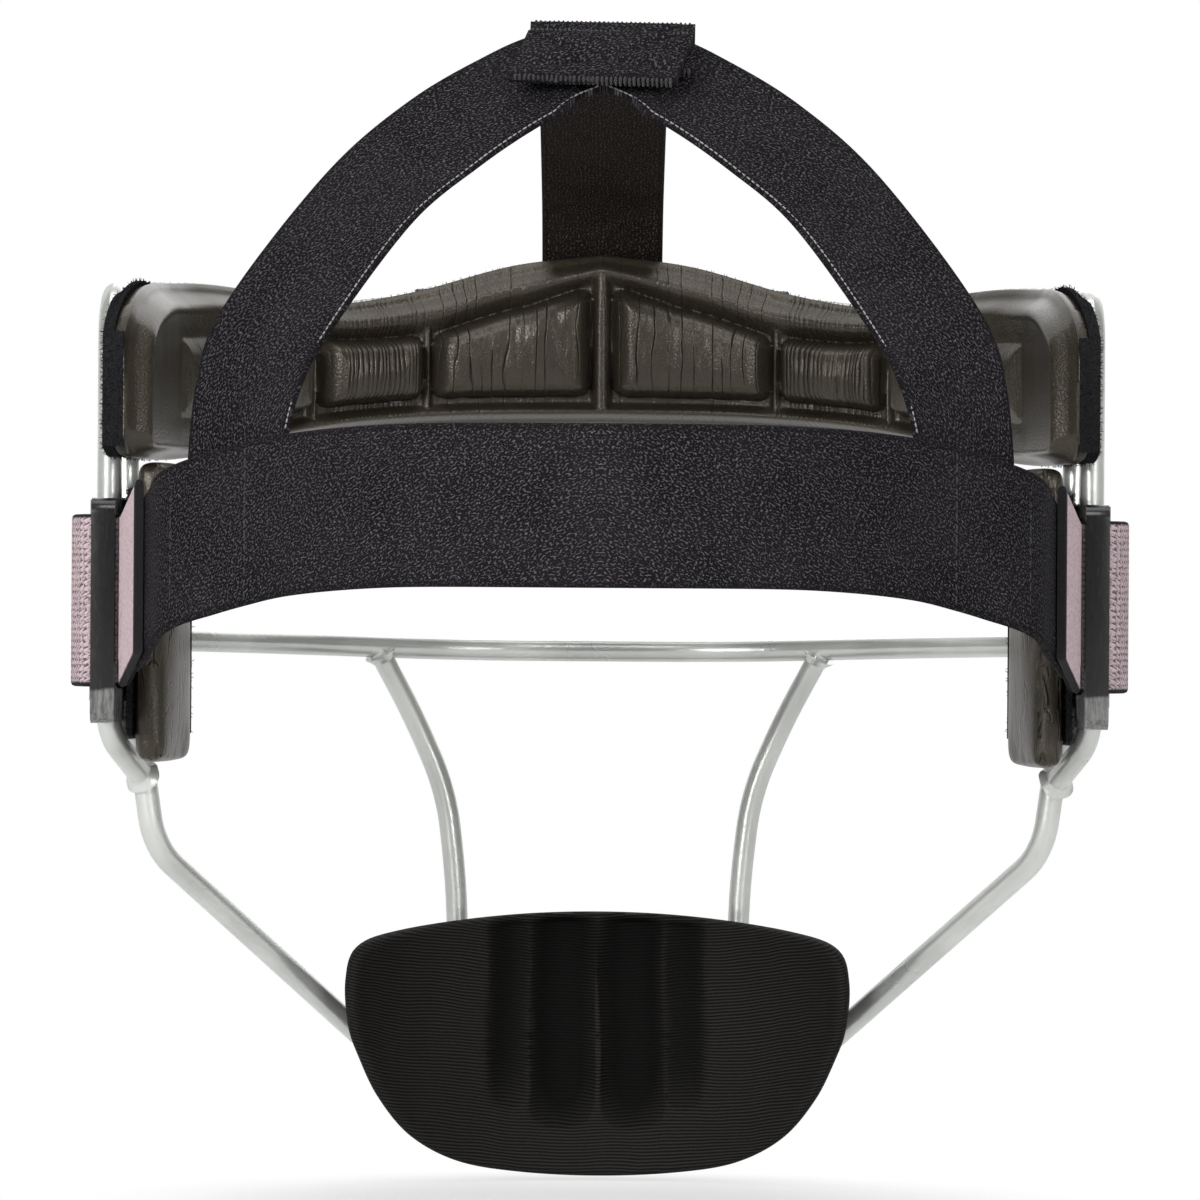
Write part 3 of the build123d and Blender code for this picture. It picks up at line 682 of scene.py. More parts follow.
# Geometry Nodes for what repeats
def node_group(name, sockets):
    tree = bpy.data.node_groups.new(name, "GeometryNodeTree")
    tree.interface.new_socket("Geometry", in_out="INPUT", socket_type="NodeSocketGeometry")
    for label, kind, default in sockets:
        socket = tree.interface.new_socket(label, in_out="INPUT", socket_type=kind)
        if default is not None:
            socket.default_value = default
    tree.interface.new_socket("Geometry", in_out="OUTPUT", socket_type="NodeSocketGeometry")
    return tree


class Build:
    """Adds nodes to a geometry tree and links them as they are made."""

    def __init__(self, tree):
        self.tree = tree
        self.inputs = tree.nodes.new("NodeGroupInput").outputs

    def add(self, kind, settings=None, values=None):
        node = self.tree.nodes.new(kind)
        for key, value in (settings or {}).items():
            setattr(node, key, value)
        for key, value in (values or {}).items():
            if isinstance(value, bpy.types.NodeSocket):
                self.tree.links.new(value, node.inputs[key])
            else:
                node.inputs[key].default_value = value
        return node.outputs

    def close(self, geometry):
        """Ends the tree in plain faces of the chosen finish."""
        real = self.add("GeometryNodeRealizeInstances", values={0: geometry})[0]
        painted = self.add("GeometryNodeSetMaterial", values={
            "Geometry": real, "Material": self.inputs["Finish"]})
        self.tree.links.new(painted[0], self.tree.nodes.new("NodeGroupOutput").inputs[0])


def stitch_tree():
    """Small rounded stitches at an even pitch along lines, flat on the surface they are sewn to."""
    tree = node_group("Stitches", [("Pitch", "NodeSocketFloat", 0.003), ("Size", "NodeSocketVector", None),
                                   ("Seed", "NodeSocketInt", 3), ("Finish", "NodeSocketMaterial", None)])
    build = Build(tree)
    line = build.add("GeometryNodeMeshToCurve", values={0: build.inputs["Geometry"]})[0]
    points = build.add("GeometryNodeResampleCurve", {"mode": "LENGTH"},
                       {"Curve": line, "Length": build.inputs["Pitch"]})[0]
    ahead = build.add("GeometryNodeInputTangent")[0]
    out = build.add("GeometryNodeInputNamedAttribute", {"data_type": "FLOAT_VECTOR"}, {"Name": "out"})[0]
    turn = build.add("FunctionNodeAlignRotationToVector", {"axis": "X"}, {"Vector": ahead})[0]
    turn = build.add("FunctionNodeAlignRotationToVector", {"axis": "Z", "pivot_axis": "X"},
                     {"Rotation": turn, "Vector": out})[0]
    bead = build.add("GeometryNodeMeshIcoSphere", values={"Radius": 1.0, "Subdivisions": 2})[0]
    bead = build.add("GeometryNodeSetShadeSmooth", values={0: bead})[0]
    vary = build.add("FunctionNodeRandomValue", {"data_type": "FLOAT"},
                     {2: 0.85, 3: 1.1, "Seed": build.inputs["Seed"]})
    size = build.add("ShaderNodeVectorMath", {"operation": "SCALE"},
                     {0: build.inputs["Size"], "Scale": vary[1]})[0]
    build.close(build.add("GeometryNodeInstanceOnPoints", values={
        "Points": points, "Instance": bead, "Rotation": turn, "Scale": size})[0])
    return tree


def pile_tree():
    """Short bent fibres standing all over a surface, kept together with it."""
    tree = node_group("Pile", [("Density", "NodeSocketFloat", 1.0), ("Height", "NodeSocketFloat", 0.0007),
                               ("Width", "NodeSocketFloat", 0.0001), ("Lean", "NodeSocketFloat", 0.6),
                               ("Seed", "NodeSocketInt", 5), ("Finish", "NodeSocketMaterial", None)])
    build = Build(tree)
    spots = build.add("GeometryNodeDistributePointsOnFaces", values={
        "Mesh": build.inputs["Geometry"], "Density": build.inputs["Density"], "Seed": build.inputs["Seed"]})
    fibre = build.add("GeometryNodeMeshCone", values={
        "Vertices": 3, "Radius Top": 0.5, "Radius Bottom": 1.0, "Depth": 1.0})[0]
    lean = build.add("FunctionNodeRandomValue", {"data_type": "FLOAT_VECTOR"}, {
        0: (-1.0, -1.0, 0.0), 1: (1.0, 1.0, 0.0), "Seed": build.inputs["Seed"]})[0]
    lean = build.add("ShaderNodeVectorMath", {"operation": "SCALE"}, {
        0: lean, "Scale": build.inputs["Lean"]})[0]
    lean = build.add("FunctionNodeEulerToRotation", values={0: lean})[0]
    turn = build.add("FunctionNodeRotateRotation", {"rotation_space": "LOCAL"}, {
        "Rotation": spots["Rotation"], "Rotate By": lean})[0]
    size = build.add("ShaderNodeCombineXYZ", values={
        0: build.inputs["Width"], 1: build.inputs["Width"], 2: build.inputs["Height"]})[0]
    hairs = build.add("GeometryNodeInstanceOnPoints", values={
        "Points": spots["Points"], "Instance": fibre, "Rotation": turn, "Scale": size})[0]
    joined = build.add("GeometryNodeJoinGeometry")
    join = joined["Geometry"].node
    tree.links.new(hairs, join.inputs[0])
    tree.links.new(build.inputs["Geometry"], join.inputs[0])
    build.close(joined[0])
    return tree


def grown(obj, tree, **values):
    """Applies a tree to an object with the given inputs, and returns the mesh it makes."""
    modifier = obj.modifiers.new(tree.name, "NODES")
    modifier.node_group = tree
    names = {item.name: item.identifier for item in tree.interface.items_tree if item.in_out == "INPUT"}
    for label, value in values.items():
        modifier[names[label]] = value
    return evaluated(obj)


def sewn(name, rows, size, pitch, material, body):
    """Stitches along rows, each a list of points in mm with the direction that faces outward."""
    points, edges, outs = [], [], []
    for row, out in rows:
        start = len(points)
        points += (np.asarray(row) * MM).tolist()
        outs += np.broadcast_to(out, np.shape(row)).tolist()
        edges += [(start + index, start + index + 1) for index in range(len(row) - 1)]
    line = bpy.data.meshes.new(name + "_line")
    line.from_pydata(points, edges, [])
    line.attributes.new("out", "FLOAT_VECTOR", "POINT").data.foreach_set("vector", np.array(outs).ravel())
    guide = linked(name + "_line", line)
    tree = bpy.data.node_groups.get("Stitches") or stitch_tree()
    mesh = grown(guide, tree, Pitch=pitch * MM, Size=tuple(part * MM for part in size), Finish=material)
    bpy.data.objects.remove(guide)
    return piece(name, mesh, None, body)


def copied(node):
    """A copy of a node's mesh with its doubles merged."""
    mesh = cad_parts[node].data.copy()
    mesh.materials.clear()
    return tidy(mesh, 35.0, 1e-6)


def piled(name, mesh, node, body, base, fibres, density, height, width, lean):
    """A cloth or tape mesh, in place of its node, with its pile standing on it."""
    sizes = bpy.context.scene.guard_sizes
    source = linked(name + "_base", mesh)
    source.data.materials.append(base)
    tree = bpy.data.node_groups.get("Pile") or pile_tree()
    mesh = grown(source, tree, Density=density / MM ** 2, Height=height * sizes.fuzz, Width=width * MM,
                 Lean=lean, Finish=fibres)
    bpy.data.objects.remove(source)
    return piece(name, mesh, None, body, [node])


def puffed(name, node, material, body):
    """A pad blown up a little from its solid: remeshed, smoothed, then filled by cloth pressure."""
    obj = linked(name, copied(node))
    remesh = obj.modifiers.new("Remesh", "REMESH")
    remesh.mode, remesh.voxel_size = "VOXEL", CHEEK_VOXEL * MM
    obj.data = evaluated(obj)
    smooth = obj.modifiers.new("Smooth", "SMOOTH")
    smooth.iterations = 24
    obj.data = mesh = evaluated(obj)
    rest = np.array([vertex.co - vertex.normal * CHEEK_PULL_IN * MM for vertex in mesh.vertices])
    mesh.vertices.foreach_set("co", rest.ravel())
    cloth = obj.modifiers.new("Cloth", "CLOTH")
    cloth.settings.use_pressure = True
    cloth.settings.uniform_pressure_force = 4.0
    cloth.settings.tension_stiffness = cloth.settings.compression_stiffness = 20.0
    cloth.settings.effector_weights.gravity = 0.0
    for step in range(1, 21):
        bpy.context.scene.frame_set(step)
    blown = evaluated(obj)
    bpy.context.scene.frame_set(1)
    moved = np.empty(len(rest) * 3)
    blown.vertices.foreach_get("co", moved)
    shift = moved.reshape(-1, 3) - rest
    length = np.linalg.norm(shift, axis=1, keepdims=True)
    shift *= np.minimum(1.0, CHEEK_SWELL * MM / np.maximum(length, 1e-9))
    obj.data = mesh = blown
    mesh.vertices.foreach_set("co", (rest + shift).ravel())
    finer = obj.modifiers.new("Subdivision", "SUBSURF")
    finer.levels = finer.render_levels = 1
    obj.data = evaluated(obj)
    obj.data.materials.clear()
    obj.data.materials.append(material)
    tidy(obj.data, 60.0)
    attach(obj, body)
    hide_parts(node)
    return obj


# Pieces
def make_wires():
    """Paints the wires and lays a weld bead where each run ends on another."""
    paint = materials()["paint"]
    for node in ("crown_bar", "jaw_bar", "brow_bar", "eye_bar", "upright_left", "upright_right"):
        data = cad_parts[node].data
        data.materials.clear()
        data.materials.append(paint)
    work = bmesh.new()
    turns = np.linspace(0.0, 2 * math.pi, 25)[:-1]
    for start, toward, radius in WELDS:
        for side in SIDES.values():
            foot = Vector(part * size for part, size in zip(start, WIRE_SIZE))
            ahead = (Vector(part * size for part, size in zip(toward, WIRE_SIZE)) - foot).normalized()
            foot.x, ahead.x = foot.x * -side, ahead.x * -side
            lay = ahead.to_track_quat("Z", "Y").to_matrix()
            rings = []
            for share in np.linspace(0.0, 1.0, 7):
                lift = 1.6 + 2.5 * share
                ring = []
                for turn in turns:
                    across, up = math.cos(turn), math.sin(turn)
                    rough = noise.noise(Vector((across * 1.6, up * 1.6, share * 3 + foot.z)))
                    reach = radius - 0.25 + 1.55 * (1 - share) ** 1.6 * (1 + 0.3 * rough)
                    spot = foot + lay @ Vector((reach * across, reach * up, lift))
                    ring.append(work.verts.new(spot * MM))
                rings.append(ring)
            for low, high in zip(rings, rings[1:]):
                for index in range(len(turns)):
                    after = (index + 1) % len(turns)
                    work.faces.new((low[index], low[after], high[after], high[index]))
            work.faces.new(rings[0][::-1])
            work.faces.new(rings[-1])
    mesh = bpy.data.meshes.new("weld_beads")
    work.to_mesh(mesh)
    work.free()
    piece("weld_beads", tidy(mesh), paint, "frame")


def make_hook_tapes():
    """Sleeves of hook tape on the wires, drawn in a little and covered with their hooks."""
    finish = materials()
    for node in ("forehead_hook_tape", "cheek_hook_tape", "chin_hook_tape"):
        mesh = copied(node)
        for vertex, normal in [(vertex, vertex.normal.copy()) for vertex in mesh.vertices]:
            vertex.co -= normal * 0.45 * MM
        piled(node + "_sleeves", mesh, node, "frame", finish["hooks"], finish["hooks"],
              0.55, 0.3, 0.16, 0.5)


def pad_section(step):
    """Columns of the forehead pad: outer face points, inward directions and heights of its edges."""
    plan, _ = spaced(bent(mirrored(scaled(PAD_PLAN, *PAD_SIZE[:2])), step=0.5), 0.25)
    plan = plan[plan[:, 1] > 3.0]
    plan, at = spaced(plan, step)
    ahead = unit(np.gradient(plan, axis=0))
    inward = np.stack([ahead[:, 1], -ahead[:, 0], np.zeros(len(plan))], axis=1)
    tops = through(scaled(PAD_TOP, PAD_SIZE[0], PAD_SIZE[2]))
    bottoms = through(scaled(PAD_BOTTOM, PAD_SIZE[0], PAD_SIZE[2]))
    away = -np.abs(plan[:, 0])
    top, bottom = np.interp(away, *tops.T), np.interp(away, *bottoms.T)
    tail = np.minimum(at, at[-1] - at)
    for (run, drop), edge, sign in ((TOP_CORNER, top, -1), (BOTTOM_CORNER, bottom, 1)):
        edge += sign * drop * (1 - np.sqrt(1 - (1 - np.minimum(tail / run, 1.0)) ** 2))
    return plan, at, inward, top, bottom


def pad_relief(at, height, top, bottom):
    """Thickness of the forehead pad over its face, how far each spot is on a block or near an end of the
    pad, and how deep it lies in the channel round a block, as a mask for painted shade there."""
    tail, middle = np.minimum(at, at[-1] - at)[:, None], np.abs(at - at[-1] / 2)[:, None]
    near_end = np.clip((END_BLOCK + 36.0 - tail) / 10.0, 0.0, 1.0)
    floor = 5.5 + 2.9 * near_end
    top_roll = np.interp(middle, *zip(*TOP_ROLL))
    rolls = [(top[:, None] - height, top_roll), (height - bottom[:, None], BOTTOM_ROLL),
             (np.broadcast_to(tail, height.shape), TAIL_ROLL)]
    edges = [depth / width for depth, width in rolls]
    roll = softened(ROLL_PROFILE, 0.05)(rounded_least(*edges, radius=0.95))
    roll = np.where(np.minimum.reduce(edges) > 0.6, np.maximum(roll, floor), roll)
    ribs = [softened(RIB_PROFILE, 0.3)(np.abs(middle - gap)) for gap in BLOCK_GAPS]
    ribs.append(softened(MIDDLE_RIB_PROFILE, 0.3)(middle))
    around = np.maximum(roll, np.maximum.reduce(ribs) * (np.minimum.reduce(edges) > 0.66))
    sides = [depth - width for depth, width in rolls]
    sides += [np.abs(middle - gap) - HALF_GAP for gap in BLOCK_GAPS]
    sides += [middle - MIDDLE_HALF_GAP, tail - END_BLOCK, height - bottom[:, None] - 4.2 - 2.0 * near_end]
    sides = [np.broadcast_to(side, height.shape) for side in sides]
    inside = rounded_least(*sides, radius=BLOCK_ROUND)
    block = softened(BLOCK_PROFILE, 0.4)(np.maximum(inside, 0.0) * (1 - 0.5 * near_end))
    block = block - 1.6 * np.exp(-np.maximum(sides[1], 0.0) / 5.0) * (inside > 0)
    block = floor + np.maximum(block - floor, 0.0) * (1 - 0.45 * near_end)
    raised = np.clip(inside / 4.0, 0.0, 1.0)
    # Mask for the painted shade in the channel round each block
    groove_shade = np.exp(-((inside - 0.1) / 0.7) ** 2) * (1 - 0.5 * near_end)
    onto = np.clip(inside / 0.9 + 0.5, 0.0, 1.0)
    onto = onto * onto * (3 - 2 * onto)
    return around + (block - around) * onto, raised, near_end, groove_shade


def make_forehead_pad():
    """The moulded forehead pad: rolled edges, six raised blocks, a rib between the middle ones."""
    sizes = bpy.context.scene.guard_sizes
    plan, at, inward, top, bottom = pad_section(0.5)
    share = np.linspace(0.0, 1.0, 104)
    height = top[:, None] + (bottom - top)[:, None] * share[None, :]
    thick, raised, near_end, groove_shade = pad_relief(at, height, top, bottom)
    spots = np.stack([np.broadcast_to(at[:, None], height.shape), height, np.zeros_like(height)], axis=-1)
    folds = creases(spots.reshape(-1, 3), (0.22, 0.045, 1.0), (3.0, 7.0, 0.4)).reshape(height.shape)
    waves = swells(spots.reshape(-1, 3), (0.13, 0.05, 1.0), (1.0, 4.0, 8.0)).reshape(height.shape)
    ripples = swells(spots.reshape(-1, 3), (0.75, 0.09, 1.0), (6.0, 2.0, 3.0)).reshape(height.shape)
    depth = sizes.wrinkle / MM
    thick = thick + raised * (0.5 * waves - 1.5 * depth * folds ** 2 + 0.12 * ripples * (1 - near_end))
    thick = thick + (1 - raised) * (0.18 * waves + 0.11 * ripples * (1 - near_end))
    back = bottom[:, None] + (top - bottom)[:, None] * np.linspace(0.02, 0.98, 9)[None, :]
    thick = np.hstack([thick, np.full(back.shape, 1.36)])
    height = np.hstack([height, back])
    rings = plan[:, None] + inward[:, None] * thick[..., None]
    rings[..., 2] = height
    mesh = skinned("forehead_pad_skin", rings, at, height, angle=75.0)
    front = np.clip((70.0 - np.abs(at - at[-1] / 2)) / 6.0, 0.15, 1.0)[:, None]
    # Where the creases are cut and darkened with painted shade: mostly on the blocks, less towards the ends
    crease = np.hstack([(0.25 + 0.75 * raised) * front, np.zeros(back.shape)])
    marked(mesh, "crease", crease)
    # The mask of painted shade in the channels round the blocks
    marked(mesh, "groove_shade", np.hstack([groove_shade, np.zeros(back.shape)]))
    obj = piece("forehead_pad_skin", mesh, materials()["creased"], "forehead_pad",
                ["forehead_pad"])


def make_cheek_pads():
    """The two cheek pads, wedges of foam in the same skin."""
    finish = materials()
    for side in SIDES:
        node = "cheek_pad_" + side
        obj = puffed(node + "_skin", node, finish["skin"], node)
        mesh = obj.data
        spots = np.array([vertex.co for vertex in mesh.vertices]) / MM
        outs = np.array([vertex.normal for vertex in mesh.vertices])
        rear = np.clip((-0.25 - outs[:, 1]) / 0.3, 0.0, 1.0)
        folds = creases(spots, (0.3, 0.12, 0.06), (2.0, 5.0, 1.0), 2)
        depth = bpy.context.scene.guard_sizes.wrinkle / MM
        spots = spots - outs * (depth * 2.0 * rear * folds ** 3)[:, None]
        mesh.vertices.foreach_set("co", (spots * MM).ravel())
        # Where the creases are cut and darkened with painted shade: mostly on the rear-facing faces
        marked(mesh, "crease", 0.15 + 0.85 * rear)
        mesh.update()


def forehead_cloth():
    """The forehead pad's loop cloth: notched for the front strap, and wrapped round the pad's ends."""
    count = 12
    plan, at, inward, top, bottom = pad_section(1.5)
    near_end = np.clip((45.0 - np.minimum(at, at[-1] - at)) / 10.0, 0.0, 1.0)
    top, bottom = top - 0.3 + 0.7 * near_end, bottom + 0.3
    plan, inward, top, bottom = (part[1:-1] for part in (plan, inward, top, bottom))
    top = np.where(np.abs(plan[:, 0]) < NOTCH[0], np.minimum(top, NOTCH[1]), top)
    share = np.concatenate([np.linspace(0.0, 1.0, count), np.linspace(1.0, 0.0, count)])
    fuller = -1.0 * np.clip((20.0 - plan[:, 1]) / 4.0, 0.0, 1.0)
    thick = np.column_stack([np.repeat(fuller[:, None], count, 1), np.full((len(plan), count), 1.24)])
    rings = plan[:, None] + inward[:, None] * thick[..., None]
    rings[..., 2] = top[:, None] + (bottom - top)[:, None] * share[None, :]
    wraps = []
    for end, order in ((0, -1), (-1, 1)):
        steps = []
        for back, low, high in ((0.9, -1.0, 1.24), (1.0, -1.0, 3.3), (1.6, -0.8, 3.1)):
            ring = plan[end] + inward[end] * np.repeat([low, high], count)[:, None]
            ring[:, 1] -= back
            ring[:, 2] = rings[end, :, 2]
            steps.append(ring)
        wraps.append(np.array(steps[::order]))
    return skinned("forehead_cloth", np.concatenate([wraps[0], rings, wraps[1]]))


def make_backings():
    """Brushed loop cloth on the outer faces of the pads and the cup."""
    finish = materials()
    pads = {"forehead_pad_backing": "forehead_pad", "chin_cup_backing": "chin_cup"}
    pads.update({"cheek_pad_backing_" + side: "cheek_pad_" + side for side in SIDES})
    for node, body in pads.items():
        mesh = forehead_cloth() if body == "forehead_pad" else copied(node)
        if body.startswith("cheek"):
            sign = -1 if body.endswith("left") else 1
            for vertex in mesh.vertices:
                past = max(0.0, vertex.co.y - CHEEK_CLOTH_END * MM)
                vertex.co.y -= past
                vertex.co.x += sign * past * CHEEK_SLOPE
        piled(node + "_cloth", mesh, node, body, finish["loop"], finish["loop"],
              0.9, 1.0, 0.09, 0.9)


def cup_reach(height, depth):
    """Distance from the cup's upright axis to a face this deep in its wall, on an arc through 3 points."""
    _, tall, top = CUP_SIZE
    heights = (-top + 2.5, -top - 0.4 * tall, -top - tall - 2.5)
    (z1, r1), (z2, r2), (z3, r3) = [(place, reach - depth) for place, reach in zip(heights, CUP_REACH)]
    area = 2 * (z1 * (r2 - r3) + z2 * (r3 - r1) + z3 * (r1 - r2))
    first, second, third = z1 * z1 + r1 * r1, z2 * z2 + r2 * r2, z3 * z3 + r3 * r3
    centre_z = (first * (r2 - r3) + second * (r3 - r1) + third * (r1 - r2)) / area
    centre_r = (first * (z3 - z2) + second * (z1 - z3) + third * (z2 - z1)) / area
    radius = math.hypot(z1 - centre_z, r1 - centre_r)
    return centre_r + np.sqrt(np.clip(radius ** 2 - (height - centre_z) ** 2, 0.0, None))


def cup_channels(across, height, spots):
    """Depth of the sewn channels at points of the cup's inner face."""
    valley = np.zeros(len(across))
    for place, radius, deep, foot in CUP_CHANNELS:
        wander = 0.7 * swells(spots, (0.0, 0.06, 1.0), (place, 2.0, 3.0))
        fade = np.sqrt(1 - (1 - np.clip((height - foot) / 12.0, 0.0, 1.0)) ** 2)
        scoop = np.sqrt(np.maximum(radius ** 2 - (across - place - wander) ** 2, 0.0)) - radius
        valley = np.maximum(valley, scoop + deep * fade)
    return valley


def make_chin_cup():
    """The padded chin cup: concave inside, with sewn channels and soft folds, and a rounded rim; it carries
    a mask of painted shade for its channels.
    """
    half_width, tall, top = CUP_SIZE
    outline = [(x * half_width, z * tall - top) for x, z in CUP_OUTLINE]
    loop = outline + [(-x, z) for x, z in reversed(outline[1:-1])]
    loop = through(loop[-2:] + loop + loop[:3], 16)[32:-32]
    loop, _ = spaced(loop, 1.0)
    loop = loop[:-1]
    middle = np.array([0.0, -top - 0.47 * tall])
    shares = np.concatenate([np.linspace(0.02, 0.9, 44), np.linspace(0.915, 0.988, 6), [1.0]])
    inner, outer, channel_shades = [], [], []
    for share, fullness in zip(shares, np.sqrt(1 - (1 - np.minimum(1.0, (1 - shares) / 0.06)) ** 2)):
        across, height = (middle + (loop - middle) * share).T
        spots = np.column_stack([across, height, np.zeros(len(across))])
        valley = cup_channels(across, height, spots) * np.clip((1 - share) / 0.08, 0.0, 1.0)
        # Mask for the painted shade in the channels, from their depth
        channel_shades.append(np.clip(valley / 4.0, 0.0, 1.0) ** 1.5)
        folds = creases(spots, (0.1, 0.025, 1.0), (4.0, 4.0, 2.0))
        near, far = cup_reach(height, CUP_WALL), cup_reach(height, 0.0)
        near = near + valley + 0.5 * swells(spots, (0.05, 0.03, 1.0), (5.0, 1.0, 6.0)) + 0.45 * folds ** 2
        core, keep = (near + far) / 2, 0.12 + 0.88 * fullness
        for reach, rows in ((core + (near - core) * keep, inner), (core + (far - core) * keep, outer)):
            ahead = CUP_AXIS + np.sqrt(np.clip(reach ** 2 - across ** 2, 0.0, None))
            rows.append(np.column_stack([across, ahead, height]))
    mesh = skinned("chin_cup_padding", np.array(inner + outer[::-1]), angle=75.0)
    marked(mesh, "channel_shade", np.array(channel_shades + [np.zeros(len(loop))] * len(outer)))
    obj = piece("chin_cup_padding", mesh, materials()["cup"], "chin_cup", ["chin_cup"])


def band_line():
    """Left half of the rear band's middle line, from the buckle to the middle of the back."""
    plan = bent(mirrored(scaled(BAND_PLAN, *BAND_SIZE[:2])), {1: 25.0})
    plan = plan[: len(plan) // 2 + 1]
    plan = np.vstack([plan[plan[:, 0] < -0.2], [0.0, plan[-1][1], 0.0]])
    line, at = spaced(plan, 1.2)
    side = through(scaled(BAND_SIDE, *BAND_SIZE[1:]))
    line[:, 2] = np.interp(line[:, 1], *side.T)
    return line, at


def make_rear_band():
    """The elastic rear band in two halves, each from its own buckle to the middle of the back, with its
    seams stitched.
    """
    finish = materials()
    line, at = band_line()
    upright = np.broadcast_to((0.0, 0.0, 1.0), line.shape)

    def relief(along, across):
        return 0.06 * np.sin(along * 0.9 + across * 0.1) * np.exp(-((along - 8.0) / 12.0) ** 2)

    for side, sign in SIDES.items():
        half = line * (-sign, 1.0, 1.0)
        mesh, _ = ribbon("rear_band_" + side, half, upright, BAND_SIZE[2], 1.8, relief)
        obj = piece("rear_band_" + side, mesh, finish["elastic"], "frame", ["rear_band"],
                    ride=False)
        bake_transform(obj)
        rows = []
        for place, low, high in BAND_SEAMS:
            spot = np.interp(np.linspace(low, high, 30), (0.0, 1.0), (-14.2, 14.2))
            centre = np.array([np.interp(place, at, column) for column in half.T])
            ahead = unit(np.array([np.interp(place + 1.0, at, column) for column in half.T]) - centre)
            out = np.cross(ahead, (0.0, 0.0, 1.0)) * -sign
            rows.append((centre + out * 0.95 + spot[:, None] * np.array((0.0, 0.0, 1.0)), out))
        sewn("rear_band_seams_" + side, rows, (0.7, 0.2, 0.16), 2.1, finish["thread"], "frame")


def crown_lines():
    """Left crown strap: middles and the direction of its width, from the crown to the band."""
    middles, asides = [], []
    for (x, y, z), (aside, down) in CROWN_STRAP:
        middles.append((x * BAND_SIZE[0], y * BAND_SIZE[1], z * CROWN_HEIGHT))
        asides.append((aside, -math.sqrt(1 - aside ** 2 - down ** 2), down))
    both = through([(*middle, *aside) for middle, aside in zip(middles, asides)], 14)
    return both[:, :3], unit(both[:, 3:])


def make_crown_straps():
    """The two crown straps, trimmed where they meet, with pale stitches along their inner edges."""
    finish = materials()
    middles, asides = crown_lines()

    def trim(run):
        return np.minimum(12.6, 6.6 + 0.5 * run)

    for side, sign in SIDES.items():
        flip = np.array((-sign, 1.0, 1.0))
        mesh, outs = ribbon(f"crown_strap_{side}_webbing", middles * flip, asides * flip,
                            STRAP_WIDTH, STRAP_THICK, limit=trim)
        piece(mesh.name, mesh, finish["webbing"], "frame", ["crown_strap_" + side])
        rear = outs * np.sign(-outs[:, 1:2])
        run = np.concatenate([[0.0], np.cumsum(np.linalg.norm(np.diff(middles, axis=0), axis=1))])
        edge = middles * flip + asides * flip * (trim(run) - 0.4)[:, None]
        ticks = [(edge[3:-20] + rear[3:-20] * 0.72, rear[3:-20])]
        sewn("crown_strap_ticks_" + side, ticks, (0.5, 0.17, 0.15), 1.15, finish["pale_thread"],
             "frame")


def make_front_strap():
    """The strap from the crown to the forehead, turned round the crown bar."""
    bar_y, bar_z, reach, inside = WIRE_SIZE[1], 62.0, 3.5, 3.8
    points = scaled(FRONT_STRAP, WIRE_SIZE[1], PAD_SIZE[2])
    points += [(bar_y + reach, bar_z + inside), (bar_y + reach, bar_z - reach),
               (bar_y - inside, bar_z - reach), (bar_y - inside, bar_z + reach)]
    route = bent(points)
    line, _ = spaced(np.column_stack([np.zeros(len(route)), route[:, :2]]), 1.0)
    aside = np.broadcast_to((1.0, 0.0, 0.0), line.shape)
    mesh, _ = ribbon("front_strap_webbing", line, aside, STRAP_WIDTH, STRAP_THICK)
    piece(mesh.name, mesh, materials()["ribbed"], "frame", ["front_strap"])


def crown_place(lift, slide):
    """Turns a flat piece on the crown's slope, as its node lies."""
    _, back, up = CROWN_STRAP[0][0]
    crown = Matrix.Translation((0.0, back * BAND_SIZE[1], up * CROWN_HEIGHT))
    slope = Matrix.Rotation(math.radians(PATCH_SLOPE), 4, "X")
    return crown @ slope @ Matrix.Translation((0.0, slide, lift))


def patch_crease(along, across):
    """Swell of the patch and the flap, with two creases that cross it."""
    u, v = (along - PATCH_HALF) / PATCH_HALF, across / (PATCH_WIDTH / 2)
    first, second = np.abs(v - 0.75 * u - 0.5 * u * u + 0.1), np.abs(v + 0.75 * u - 0.3 * u * u + 0.1)
    inside = np.clip((1 - np.abs(u)) / 0.15, 0.0, 1.0) * np.clip((1 - np.abs(v)) / 0.2, 0.0, 1.0)
    return (0.4 - 1.2 * np.exp(-((np.minimum(first, second) / 0.13) ** 2))) * inside


